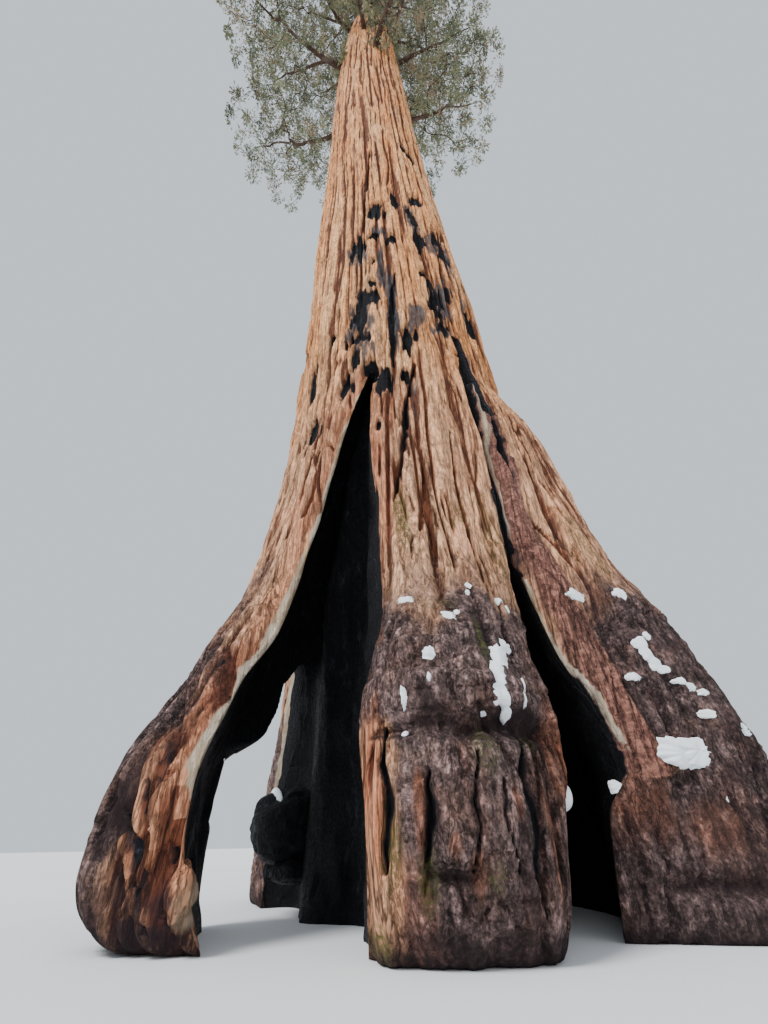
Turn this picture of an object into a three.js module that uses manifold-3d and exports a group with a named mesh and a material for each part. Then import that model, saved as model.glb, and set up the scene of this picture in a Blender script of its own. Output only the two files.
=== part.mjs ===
// A giant sequoia with a fire-hollowed foot, evenly scaled down to 40 m.
// Sizes are metres of the living tree, and M turns them into the model's millimetres.
// +X is right, +Y is away from the viewer and +Z is up. The origin is on the flat cut of the
// charred core, at ground level. An azimuth is in degrees from the front, positive to the right.
import * as THREE from "three";
import { mergeVertices } from "three/addons/utils/BufferGeometryUtils.js";
import Module from "manifold-3d";

const wasm = await Module();
wasm.setup();

const LIVING_HEIGHT = 72;
const MODEL_HEIGHT = 40000;
const M = MODEL_HEIGHT / LIVING_HEIGHT;
const GAP = 0.4 / M; // clearance between neighbouring solids, 0.4 mm in the model

// The trunk: how far its axis stands to the right, and its radius, at each height
const TRUNK_TOP = 70;
const TRUNK_AXIS = [[0, 0], [8, -0.13], [21, -0.49], [34, -0.76], [48, -0.88], [TRUNK_TOP, -1.05]];
const TRUNK_TAPER = [
  [0, 2.28], [4, 2.24], [8, 2.16], [14, 2.07], [20, 1.95], [28, 1.91], [36, 1.86],
  [44, 1.76], [50, 1.58], [56, 1.26], [62, 0.86], [67, 0.44], [TRUNK_TOP, 0.14],
];
const TRUNK_LEVELS = [0, 0.6, 1.2, 1.8, 2.5, 3.5, 4.5, 5.5, 6.6, 7.8, 10, 14, 21, 28, 34, 40, 46, 52, 57, 62, 67, TRUNK_TOP];
const TRUNK_SIDES = 48;
const FLUTES = { count: 7, depth: 0.06, twist: 4, fadeHeight: 30 };

// The buttress legs that the trunk stands on: a half width in degrees, and rows of a height and
// how far the leg stands out there
const LEGS = [
  { azimuth: -52, spread: 20, reach: [[0, 1.35], [0.6, 1.5], [1.2, 1.38], [1.8, 1.08], [2.5, 0.78], [3.5, 0.38], [5, 0.2], [7.5, 0]] },
  { azimuth: 2, spread: 23, reach: [[0, 0.75], [0.8, 0.95], [2, 0.8], [3, 0.5], [4.5, 0.22], [7, 0]] },
  { azimuth: 62, spread: 25, reach: [[0, 1.6], [1.5, 1.52], [2.5, 1.32], [3.5, 0.95], [5.5, 0.6], [6.6, 0.42], [7.8, 0.03], [9, 0]] },
  { azimuth: 116, spread: 16, reach: [[0, 1.15], [1, 1], [2.5, 0.5], [5, 0.15], [7.5, 0]] },
  { azimuth: 168, spread: 20, reach: [[0, 1.3], [1, 1.15], [2.5, 0.6], [5, 0.2], [8, 0]] },
  { azimuth: -138, spread: 19, reach: [[0, 1.35], [1, 1.15], [2.5, 0.6], [5, 0.2], [8, 0]] },
];
const LEG_EDGE = 2.6; // how square a leg's sides are

// The burnt caves. A mouth's rows are a height and the azimuths of its left and right sides, and
// it runs out to OUTSIDE. The floor is the cave's outline inside the tree at ground level, from
// the mouth's right side to its left.
const OUTSIDE = 6;
const LIP = 0.97; // where the mouth's sides turn in, as a share of the trunk's radius
const BELOW_GROUND = -0.5;
const CAVES = [
  {
    mouth: [
      [0, -37.5, -13.5], [0.8, -40, -12.5], [1.4, -41, -14], [2, -41.4, -11.4], [2.6, -38.5, -9],
      [3.6, -37.6, -10.2], [4.3, -34, -11], [5, -30.3, -13.5], [5.8, -25.6, -14.3],
      [6.5, -21, -14.5], [7.4, -14.5, -13],
    ],
    floor: [[-0.72, -0.9], [-1.45, -0.6], [-1.6, 0.5], [-1.75, 0.95], [-2.2, 0.95], [-2.58, -0.45]],
    closing: 1.6,
  },
  {
    mouth: [[0, -112, -80], [1.4, -113, -85], [2.4, -115, -97], [3.3, -118, -114]],
    floor: [[-1.9, -0.5], [-1.7, 0.6]],
    closing: 2.5,
  },
  {
    mouth: [
      [0, 15.5, 31], [0.8, 19.5, 33.5], [1.2, 25.5, 37], [1.7, 25, 35.8], [2.3, 26, 32.4],
      [2.8, 26, 31.4], [3.6, 27.5, 30.5],
    ],
    floor: [[1.9, -0.7], [1.75, 0.6], [0.95, 0.5], [0.6, -1.0]],
    closing: 1.5,
  },
];
// The groove that the fire left above the right mouth
const GROOVE = { mouth: [[3.3, 27.5, 32], [4.8, 28.5, 32.5], [7, 28, 31], [8.4, 31, 32.3]], depth: 0.3 };
// The charred burl on the core's left side: centre and radii
const BURL = { centre: [-1.72, 0.05, 0.85], radii: [0.52, 0.4, 0.42] };

// The crown
const CROWN = { bottom: 34.5, top: 64.5, boughs: 26, turn: 137.508, start: 105 };
// How far the foliage reaches from the trunk's axis at each height
const CROWN_REACH = [[30, 8.6], [38, 9.1], [46, 8.9], [54, 8], [61, 6.5], [67, 4.8], [72, 2.2]];
const REACH_JITTER = 0.08;
const FULL_SIDE = { azimuth: -70, share: 0.1 }; // the crown reaches further to this side
const BOUGH = { sides: 6, steps: 7, thickness: [0.34, 0.16], tip: 0.45, sag: 0.16, rise: [-0.02, 0.62], swing: 0.12 };
// A mass of foliage: its half sizes along its bough, across and up, at the crown's foot and top
const MASS = { along: [2.7, 2.0], across: [4.0, 2.9], up: [2.9, 2.6], entry: 0.93 };
const TOP_MASSES = [
  { azimuth: -70, height: 67.6, out: 1.9, radii: [1.95, 2.0, 1.9] },
  { azimuth: 50, height: 67.2, out: 1.8, radii: [1.9, 2.0, 1.9] },
  { azimuth: 170, height: 67.9, out: 1.8, radii: [1.9, 2.0, 1.9] },
];
const CROWN_TIP = { height: 70.7, radii: [1.7, 1.7, 1.6] };
const CORE_SHARE = 0.76; // of a mass's half sizes
const CORE_LUMPS = 0.15;
const TWIG = { count: 6, inner: 0.6, outer: 0.88, thickness: 0.1, tip: 0.06 };
const SPRAY = { length: 1.4, width: 0.7, thickness: 0.36, side: 0.9, sunk: 0.35 };
const LIMB_MARGIN = 0.05;

const radians = THREE.MathUtils.degToRad;
const lerp = THREE.MathUtils.lerp;

// The value of a table of [height, value, ...] rows at a height
function at(table, height, column = 1) {
  let k = 1;
  while (k < table.length - 1 && table[k][0] < height) k++;
  const [a, b] = [table[k - 1], table[k]];
  const t = THREE.MathUtils.clamp((height - a[0]) / (b[0] - a[0]), 0, 1);
  return lerp(a[column], b[column], t);
}

// A seeded stream of numbers from 0 to 1
function dice(seed) {
  let state = seed >>> 0;
  return () => {
    state = (Math.imul(state, 1664525) + 1013904223) >>> 0;
    return state / 4294967296;
  };
}

// The horizontal direction of an azimuth
function heading(azimuth) {
  return new THREE.Vector2(Math.sin(radians(azimuth)), -Math.cos(radians(azimuth)));
}

function axisPoint(height) {
  return new THREE.Vector3(at(TRUNK_AXIS, height), 0, height);
}

function trunkRadius(azimuth, height) {
  let radius = at(TRUNK_TAPER, height);
  for (const leg of LEGS) {
    const off = Math.abs(THREE.MathUtils.euclideanModulo(azimuth - leg.azimuth + 180, 360) - 180);
    const across = Math.exp(-((off / leg.spread) ** LEG_EDGE));
    radius += at(leg.reach, height) * across;
  }
  const fade = Math.max(0, 1 - height / FLUTES.fadeHeight);
  return radius + FLUTES.depth * fade * Math.cos(FLUTES.count * radians(azimuth + FLUTES.twist * height));
}

function manifoldOf(positions, triangles) {
  const mesh = new wasm.Mesh({
    numProp: 3,
    vertProperties: new Float32Array(positions),
    triVerts: new Uint32Array(triangles),
  });
  return new wasm.Manifold(mesh);
}

// A closed solid through a stack of outlines. frames place each outline, an array of Vector2.
function skin(outlines, frames) {
  const n = outlines[0].length;
  const turned = THREE.ShapeUtils.area(outlines[0]) < 0;
  const rings = outlines.map((outline) => (turned ? [...outline].reverse() : outline));
  const positions = [];
  rings.forEach((ring, k) => {
    for (const p of ring) positions.push(...new THREE.Vector3(p.x, p.y, 0).applyMatrix4(frames[k]));
  });
  const triangles = [];
  for (let k = 0; k < rings.length - 1; k++)
    for (let i = 0; i < n; i++) {
      const j = (i + 1) % n;
      const [a, b, c, d] = [k * n + i, k * n + j, (k + 1) * n + j, (k + 1) * n + i];
      triangles.push(a, b, c, a, c, d);
    }
  const last = (rings.length - 1) * n;
  for (const [a, b, c] of THREE.ShapeUtils.triangulateShape(rings[0], [])) triangles.push(a, c, b);
  for (const [a, b, c] of THREE.ShapeUtils.triangulateShape(rings.at(-1), []))
    triangles.push(last + a, last + b, last + c);
  return manifoldOf(positions, triangles);
}

// A closed three.js geometry, moved by a matrix, as a solid
function solidOf(geometry, matrix) {
  const bare = geometry.clone().applyMatrix4(matrix);
  bare.deleteAttribute("normal");
  bare.deleteAttribute("uv");
  const merged = mergeVertices(bare);
  return manifoldOf(merged.getAttribute("position").array, merged.index.array);
}

function level(height) {
  return new THREE.Matrix4().makeTranslation(axisPoint(height));
}

// The trunk's outside, grown by a margin
function trunkOutside(margin = 0) {
  const outlines = TRUNK_LEVELS.map((height) =>
    Array.from({ length: TRUNK_SIDES }, (_, i) => {
      const azimuth = (360 * i) / TRUNK_SIDES;
      return heading(azimuth).multiplyScalar(trunkRadius(azimuth, height) + margin);
    }),
  );
  const frames = TRUNK_LEVELS.map(level);
  if (margin) frames[frames.length - 1] = level(TRUNK_TOP + margin);
  return skin(outlines, frames);
}

// The outline of a cave at one height, from the mouth's right side round the floor to its left:
// the floor's outline, drawn in towards the mouth as the cave closes
function caveOutline(cave, height) {
  const apex = cave.mouth.at(-1)[0];
  const [left, right] = [at(cave.mouth, height, 1), at(cave.mouth, height, 2)];
  const shrink = 0.9 * (Math.max(0, height) / apex) ** cave.closing;
  const middle = (left + right) / 2;
  const hub = heading(middle).multiplyScalar(0.8 * trunkRadius(middle, height));
  const inside = cave.floor.map(([x, y]) => new THREE.Vector2(x, y).lerp(hub, shrink));
  const far = [right, left].map((azimuth) => heading(azimuth).multiplyScalar(OUTSIDE));
  const lips = [right, left].map((azimuth) =>
    heading(azimuth).multiplyScalar(LIP * trunkRadius(azimuth, height)),
  );
  return [far[0], lips[0], ...inside, lips[1], far[1]];
}

function caveSolid(cave) {
  const heights = cave.mouth.map((row) => row[0]);
  const outlines = [caveOutline(cave, 0), ...heights.map((height) => caveOutline(cave, height))];
  return skin(outlines, [level(BELOW_GROUND), ...heights.map(level)]);
}

function grooveSolid() {
  const outlines = GROOVE.mouth.map(([height, left, right]) => {
    const middle = (left + right) / 2;
    const bottom = trunkRadius(middle, height) - GROOVE.depth;
    return [
      heading(middle).multiplyScalar(bottom),
      heading(right).multiplyScalar(OUTSIDE),
      heading(left).multiplyScalar(OUTSIDE),
    ];
  });
  return skin(outlines, GROOVE.mouth.map((row) => level(row[0])));
}

function trunk() {
  const burl = new THREE.Matrix4().compose(
    new THREE.Vector3(...BURL.centre),
    new THREE.Quaternion(),
    new THREE.Vector3(...BURL.radii),
  );
  let solid = trunkOutside();
  for (const cave of CAVES) solid = solid.subtract(caveSolid(cave));
  solid = solid.subtract(grooveSolid());
  return solid.add(solidOf(new THREE.IcosahedronGeometry(1, 1), burl));
}

// A tapering limb along points, as a solid. It starts and ends in flat cuts across its path.
function limb(points, radii, sides) {
  let across = null;
  const frames = points.map((p, k) => {
    const before = points[Math.max(0, k - 1)];
    const after = points[Math.min(points.length - 1, k + 1)];
    const along = after.clone().sub(before).normalize();
    across ??= new THREE.Vector3(-along.y, along.x, 0.001).normalize();
    const u = across.clone().addScaledVector(along, -across.dot(along)).normalize();
    across = u;
    return new THREE.Matrix4().makeBasis(u, along.clone().cross(u), along).setPosition(p);
  });
  const outlines = radii.map((r) =>
    Array.from({ length: sides }, (_, i) => {
      const angle = (2 * Math.PI * i) / sides;
      return new THREE.Vector2(r * Math.cos(angle), r * Math.sin(angle));
    }),
  );
  return skin(outlines, frames);
}

// Where each bough runs, and the mass of foliage at its end
function boughPlans() {
  return Array.from({ length: CROWN.boughs }, (_, i) => {
    const roll = dice(1000 + i);
    const t = i / (CROWN.boughs - 1);
    const foot = lerp(CROWN.bottom, CROWN.top, t);
    const azimuth = CROWN.start + CROWN.turn * i;
    const radii = [MASS.along, MASS.across, MASS.up].map(([low, high]) => lerp(low, high, t));
    const fuller = FULL_SIDE.share * Math.cos(radians(azimuth - FULL_SIDE.azimuth));
    const reach = at(CROWN_REACH, foot) * (1 + fuller + REACH_JITTER * (2 * roll() - 1));
    const rise = lerp(...BOUGH.rise, t ** 1.3);
    const centreOut = reach - radii[0];
    const inside = 0.3 * at(TRUNK_TAPER, foot);
    const tipOut = centreOut - MASS.entry * radii[0] * Math.cos(Math.atan(rise));
    const length = tipOut - inside;
    const swing = BOUGH.swing * (2 * roll() - 1);
    const out = heading(azimuth);
    const side = new THREE.Vector2(-out.y, out.x);
    const points = Array.from({ length: BOUGH.steps + 1 }, (_, k) => {
      const s = k / BOUGH.steps;
      const flat = out.clone().multiplyScalar(inside + length * s);
      flat.addScaledVector(side, swing * length * Math.sin(Math.PI * s));
      const up = rise * length * s - BOUGH.sag * length * Math.sin(Math.PI * s) * (1 - t);
      return axisPoint(foot).add(new THREE.Vector3(flat.x, flat.y, up));
    });
    const base = lerp(...BOUGH.thickness, t);
    const thickness = points.map((_, k) => base * lerp(1, BOUGH.tip, k / BOUGH.steps));
    const tip = points.at(-1);
    const along = tip.clone().sub(points.at(-2)).normalize();
    const centre = tip.clone().addScaledVector(along, MASS.entry * radii[0]);
    const mass = { centre, radii, facing: azimuth, root: tip, stem: thickness.at(-1), seed: 2000 + i };
    return { points, thickness, mass };
  });
}

// The masses that grow straight from the trunk round its top
function topPlans() {
  const plans = TOP_MASSES.map(({ azimuth, height, out, radii }, i) => {
    const flat = heading(azimuth).multiplyScalar(out);
    const centre = axisPoint(height).add(new THREE.Vector3(flat.x, flat.y, 0));
    return { centre, radii, facing: azimuth, root: axisPoint(height - 0.6), stem: 0.1, seed: 3000 + i };
  });
  const tip = axisPoint(CROWN_TIP.height);
  const root = axisPoint(TRUNK_TOP - 0.5);
  plans.push({ centre: tip, radii: CROWN_TIP.radii, facing: 0, root, stem: 0.09, seed: 3100 });
  return plans;
}

// How far a point is from a mass's centre, as a share of its half sizes
function depthIn(mass, point) {
  const off = point.clone().sub(mass.centre);
  const out = heading(mass.facing);
  const along = off.x * out.x + off.y * out.y;
  const across = -off.x * out.y + off.y * out.x;
  return Math.hypot(along / mass.radii[0], across / mass.radii[1], off.z / mass.radii[2]);
}

// How far a mass reaches from its centre along a direction
function reachOf(mass, direction) {
  return 1 / depthIn(mass, mass.centre.clone().add(direction));
}

// The planes that part a mass from its neighbours. A row is a direction into the mass and how far
// along it the plane lies.
function partings(mass, others) {
  const planes = [];
  for (const other of others) {
    const away = mass.centre.clone().sub(other.centre);
    const distance = away.length();
    away.normalize();
    const [own, theirs] = [reachOf(mass, away), reachOf(other, away)];
    if (own + theirs < distance) continue;
    const border = other.centre.clone().addScaledVector(away, (distance * theirs) / (own + theirs));
    planes.push([away, away.dot(border) + GAP]);
  }
  return planes;
}

// True if a point lies in a mass's own space, clear of the other masses, the boughs and the trunk
function clearOf(mass, planes, boughs, point, thickness) {
  if (depthIn(mass, point) > 1) return false;
  if (planes.some(([normal, offset]) => normal.dot(point) < offset + thickness)) return false;
  const axis = axisPoint(point.z);
  const fromAxis = Math.hypot(point.x - axis.x, point.y - axis.y);
  if (fromAxis < at(TRUNK_TAPER, point.z) + thickness + LIMB_MARGIN) return false;
  return boughs.every((bough) =>
    bough.points.every(
      (p, k) => p.distanceTo(point) > bough.thickness[k] + thickness + LIMB_MARGIN,
    ),
  );
}

// A direction of a mass's own frame, in the tree's frame, stretched by its half sizes
function within(mass, x, y, z) {
  const out = heading(mass.facing);
  const [a, b] = [x * mass.radii[0], y * mass.radii[1]];
  return new THREE.Vector3(out.x * a - out.y * b, out.y * a + out.x * b, z * mass.radii[2]);
}

// A flat spray of foliage, eight faces, from its root along a direction
function spray(root, along, length, roll) {
  const up = new THREE.Vector3(roll() - 0.5, roll() - 0.5, 1).normalize();
  const side = along.clone().cross(up).normalize();
  const over = side.clone().cross(along).normalize();
  const matrix = new THREE.Matrix4().makeBasis(
    along.clone().multiplyScalar(length / 2),
    side.multiplyScalar(SPRAY.width / 2),
    over.multiplyScalar(-SPRAY.thickness / 2),
  );
  matrix.setPosition(root.clone().addScaledVector(along, length * (0.5 - SPRAY.sunk)));
  return { matrix, tip: root.clone().addScaledVector(along, length * (1 - SPRAY.sunk)) };
}

// A mass of foliage: a lumpy core on its stem, and twigs with sprays that stand out of it
function foliage(mass, others, boughs) {
  const roll = dice(mass.seed);
  const planes = partings(mass, others);
  const core = new THREE.IcosahedronGeometry(1, 1);
  const merged = mergeVertices(core.deleteAttribute("normal").deleteAttribute("uv"));
  const place = merged.getAttribute("position");
  for (let i = 0; i < place.count; i++) {
    const share = CORE_SHARE * (1 + CORE_LUMPS * (2 * roll() - 1));
    const p = within(mass, place.getX(i) * share, place.getY(i) * share, place.getZ(i) * share);
    place.setXYZ(i, ...p.add(mass.centre));
  }
  const pieces = [manifoldOf(place.array, merged.index.array)];
  const inward = mass.centre.clone().sub(mass.root).normalize();
  const start = mass.root.clone().addScaledVector(inward, GAP);
  pieces.push(limb([start, mass.centre.clone()], [mass.stem, mass.stem * 0.7], 5));
  const golden = Math.PI * (3 - Math.sqrt(5));
  for (let k = 0; k < TWIG.count; k++) {
    const z = 1 - (2 * (k + 0.5)) / TWIG.count;
    const angle = golden * k + 0.7 * roll();
    const flat = Math.sqrt(1 - z * z);
    const aim = within(mass, flat * Math.cos(angle), flat * Math.sin(angle), z);
    const foot = mass.centre.clone().addScaledVector(aim, TWIG.inner);
    const tip = mass.centre.clone().addScaledVector(aim, TWIG.outer);
    if (!clearOf(mass, planes, boughs, tip, TWIG.tip)) continue;
    pieces.push(limb([foot, tip], [TWIG.thickness, TWIG.tip], 3));
    const along = aim.clone().normalize();
    const side = along.clone().cross(new THREE.Vector3(0, 0, 1)).normalize();
    const leans = [
      along.clone().addScaledVector(side, SPRAY.side).normalize(),
      along.clone().addScaledVector(side, -SPRAY.side).normalize(),
    ];
    leans.forEach((lean, j) => {
      const root = foot.clone().lerp(tip, j ? 0.95 : 0.6);
      const blade = spray(root, lean, SPRAY.length * (0.85 + 0.3 * roll()), roll);
      if (!clearOf(mass, planes, boughs, blade.tip, 0)) return;
      const middle = root.clone().lerp(blade.tip, 0.5);
      if (!clearOf(mass, planes, boughs, middle, SPRAY.width / 2)) return;
      pieces.push(solidOf(new THREE.OctahedronGeometry(1, 0), blade.matrix));
    });
  }
  let solid = wasm.Manifold.union(pieces);
  for (const [normal, offset] of planes) solid = solid.trimByPlane([...normal], offset);
  return solid;
}

function material(colour, roughness) {
  return new THREE.MeshStandardMaterial({ color: colour, roughness, metalness: 0 });
}

const BARK = material(0xa8623c, 0.9);
const LIMB_BARK = material(0x7a5844, 0.9);
const FOLIAGE = material(0x5c6b3e, 0.85);

function meshOf(name, solid, look) {
  const { vertProperties, numProp, triVerts, numVert } = solid.getMesh();
  const positions = new Float32Array(numVert * 3);
  for (let i = 0; i < numVert; i++)
    positions.set(vertProperties.subarray(i * numProp, i * numProp + 3), i * 3);
  const geometry = new THREE.BufferGeometry();
  geometry.setAttribute("position", new THREE.BufferAttribute(positions, 3));
  geometry.setIndex(new THREE.BufferAttribute(new Uint32Array(triVerts), 1));
  geometry.computeVertexNormals();
  const mesh = new THREE.Mesh(geometry, look);
  mesh.name = name;
  return mesh;
}

// The largest body of a solid, without loose scraps
function largest(solid) {
  return solid.decompose().sort((a, b) => b.volume() - a.volume())[0];
}

const tree = new THREE.Group();
const boughs = boughPlans();
const tops = topPlans();
const masses = [...boughs.map((bough) => bough.mass), ...tops];
const clearTrunk = trunkOutside(GAP * 1.5);
const number = (i) => String(i + 1).padStart(2, "0");

tree.add(meshOf("trunk", trunk(), BARK));
boughs.forEach(({ points, thickness }, i) => {
  const solid = largest(limb(points, thickness, BOUGH.sides).subtract(clearTrunk));
  tree.add(meshOf(`bough_${number(i)}`, solid, LIMB_BARK));
});
masses.forEach((mass, i) => {
  const others = masses.filter((other) => other !== mass);
  const solid = largest(foliage(mass, others, boughs).subtract(clearTrunk));
  const name = i < boughs.length ? `foliage_${number(i)}` : `foliage_top_${i - boughs.length + 1}`;
  tree.add(meshOf(name, solid, FOLIAGE));
});
tree.scale.setScalar(M);

export default tree;
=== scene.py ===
"""Giant redwood: ridged bark, burnt hollows, boughs, twigs, foliage and lying snow.

Sizes in the tables are metres of the living tree, which stands 72 m tall.
The part is that tree made 40 m tall, so every mesh is scaled by SCALE.
Angles go round the trunk in degrees, from the front (-Y), positive to the right (+X).
"""

import functools
import itertools
import math

import bmesh
import bpy
import numpy as np
from mathutils import Matrix, Vector


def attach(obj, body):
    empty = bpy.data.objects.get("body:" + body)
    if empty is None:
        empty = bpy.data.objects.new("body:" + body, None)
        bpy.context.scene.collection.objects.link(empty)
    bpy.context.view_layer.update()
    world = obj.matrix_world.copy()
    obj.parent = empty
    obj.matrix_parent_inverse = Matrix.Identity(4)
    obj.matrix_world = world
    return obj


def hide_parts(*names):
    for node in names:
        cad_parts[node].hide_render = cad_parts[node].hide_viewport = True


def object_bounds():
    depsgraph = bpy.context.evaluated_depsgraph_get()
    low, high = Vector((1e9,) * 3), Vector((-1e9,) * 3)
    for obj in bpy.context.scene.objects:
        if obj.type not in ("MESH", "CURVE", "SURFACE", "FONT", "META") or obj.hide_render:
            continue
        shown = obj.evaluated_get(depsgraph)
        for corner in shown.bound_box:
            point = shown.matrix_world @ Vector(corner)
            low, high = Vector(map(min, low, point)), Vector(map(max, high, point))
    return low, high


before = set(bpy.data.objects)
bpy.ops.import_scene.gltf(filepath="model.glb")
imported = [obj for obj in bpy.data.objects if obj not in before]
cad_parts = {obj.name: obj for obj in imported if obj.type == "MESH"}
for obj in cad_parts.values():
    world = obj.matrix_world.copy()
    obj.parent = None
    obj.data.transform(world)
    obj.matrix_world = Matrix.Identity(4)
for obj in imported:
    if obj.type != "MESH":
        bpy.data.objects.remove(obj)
CAD_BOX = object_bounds()

bl_info = {
    "name": "Giant redwood tree",
    "version": (1, 0, 0),
    "blender": (4, 5, 0),
    "location": "3D View > Sidebar > Redwood",
    "description": "Builds the bark, burnt hollows, boughs, foliage and snow of a giant redwood",
    "category": "Add Mesh",
}

SCALE = 40 / 72

# ---------------------------------------------------------------- the tree's tables

TRUNK_TOP = 70
TRUNK_AXIS = [(0, 0), (8, -0.13), (21, -0.49), (34, -0.76), (48, -0.88), (70, -1.05)]
TRUNK_TAPER = [
    (0, 2.28), (4, 2.24), (8, 2.16), (14, 2.07), (20, 1.95), (28, 1.91), (36, 1.86),
    (44, 1.76), (50, 1.58), (56, 1.26), (62, 0.86), (67, 0.44), (70, 0.14),
]
FLUTES = {"count": 7, "depth": 0.06, "twist": 4, "fade_height": 30}
# Each leg: angle, half width in degrees, and how far it stands out at each height.
LEGS = [
    (-52, 20, [(0, 1.35), (0.6, 1.5), (1.2, 1.38), (1.8, 1.08), (2.5, 0.78), (3.5, 0.38), (5, 0.2), (7.5, 0)]),
    (2, 23, [(0, 0.75), (0.8, 0.95), (2, 0.8), (3, 0.5), (4.5, 0.22), (7, 0)]),
    (62, 25, [(0, 1.6), (1.5, 1.52), (2.5, 1.32), (3.5, 0.95), (5.5, 0.6), (6.6, 0.42), (7.8, 0.03), (9, 0)]),
    (116, 16, [(0, 1.15), (1, 1), (2.5, 0.5), (5, 0.15), (7.5, 0)]),
    (168, 20, [(0, 1.3), (1, 1.15), (2.5, 0.6), (5, 0.2), (8, 0)]),
    (-138, 19, [(0, 1.35), (1, 1.15), (2.5, 0.6), (5, 0.2), (8, 0)]),
]
LEG_EDGE = 2.6
# Sets of long furrows: how many to a ridge, reach upwards, sway, half width, depth and seed.
FURROWS = [(1, 9, 1.0, 0.05, 1.0, 201), (0.7, 6, 1.5, 0.05, 0.85, 211), (2.3, 3.4, 1.2, 0.03, 0.55, 221)]
# Heights where the three parts of the bark meet.
FOOT_TOP, SHAFT_TOP = 9.2, 26

# Each burnt hollow: its mouth as (height, left angle, right angle), the way round its floor, and how it closes upwards.
LEFT_HOLLOW = {
    "mouth": [
        (0, -37.5, -13.5), (0.8, -40, -12.5), (1.4, -41, -14), (2, -41.4, -11.4), (2.6, -38.5, -9), (3.6, -37.6, -10.2),
        (4.3, -34, -11), (5, -30.3, -13.5), (5.8, -25.6, -14.3), (6.5, -21, -14.5), (7.4, -14.5, -13),
    ],
    "floor": [(-0.72, -0.9), (-1.45, -0.6), (-1.6, 0.5), (-1.75, 0.95), (-2.2, 0.95), (-2.58, -0.45)],
    "closing": 1.6,
}
REAR_HOLLOW = {
    "mouth": [(0, -112, -80), (1.4, -113, -85), (2.4, -115, -97), (3.3, -118, -114)],
    "floor": [(-1.9, -0.5), (-1.7, 0.6)],
    "closing": 2.5,
}
RIGHT_HOLLOW = {
    "mouth": [
        (0, 15.5, 31), (0.8, 19.5, 33.5), (1.2, 25.5, 37), (1.7, 25, 35.8), (2.3, 26, 32.4), (2.8, 26, 31.4),
        (3.6, 27.5, 30.5),
    ],
    "floor": [(1.9, -0.7), (1.75, 0.6), (0.95, 0.5), (0.6, -1.0)],
    "closing": 1.5,
}
HOLLOWS = [LEFT_HOLLOW, REAR_HOLLOW, RIGHT_HOLLOW]
# A hollow's solid reaches this far out and down; its wall ends at this share of the bark's radius.
OUTSIDE, BELOW_GROUND, LIP = 6, -0.5, 0.97
# Points along a hollow's wall, and the thickness under which the trunk's shell is opened at the rear.
WALL_POINTS, THIN_SHELL = 132, 0.26
GROOVE = {"mouth": [(3.3, 27.5, 32), (4.8, 28.5, 32.5), (7, 28, 31), (8.4, 31, 32.3)], "depth": 0.3}
# Rounded lumps: the charred burl and stub, and the callus on the left foot.
BURL_SEED = 91
BURL = {"centre": (-1.72, 0.05, 0.85), "radii": (0.52, 0.4, 0.42)}
STUB = {"centre": (-1.62, -0.12, 0.4), "radii": (0.3, 0.22, 0.12)}
CALLUS = {"centre": (-2.08, -2.46, 0.37), "radii": (0.12, 0.13, 0.19)}
# The roof over the way through the tree slants up from left to right: solid where this sum is below the limit.
TUNNEL_ROOF = {"across": 0.8292, "back": 0.3232, "up": -0.456, "limit": -2.9406}

# How deep the pale new wood shows on each lip and how far it is rolled over the bark, by height: (hollow, side, table).
PALE_LIPS = [
    (LEFT_HOLLOW, "left", [
        (0.86, 0, 0), (0.98, 0.26, 0.02), (1.35, 0.34, 0.045), (1.8, 0.32, 0.045), (2.2, 0.25, 0.035),
        (2.8, 0.2, 0.04), (3.4, 0.16, 0.03), (4.5, 0.13, 0.02), (6.2, 0.08, 0.02), (7.3, 0.03, 0),
    ]),
    (REAR_HOLLOW, "left", [(0.9, 0.03, 0), (1.4, 0.08, 0), (2.2, 0.11, 0.01), (3.2, 0.1, 0)]),
    (RIGHT_HOLLOW, "right", [(1.25, 0, 0), (1.5, 0.05, 0.01), (2.2, 0.075, 0), (3.2, 0.06, 0), (3.6, 0.03, 0)]),
]

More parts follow.
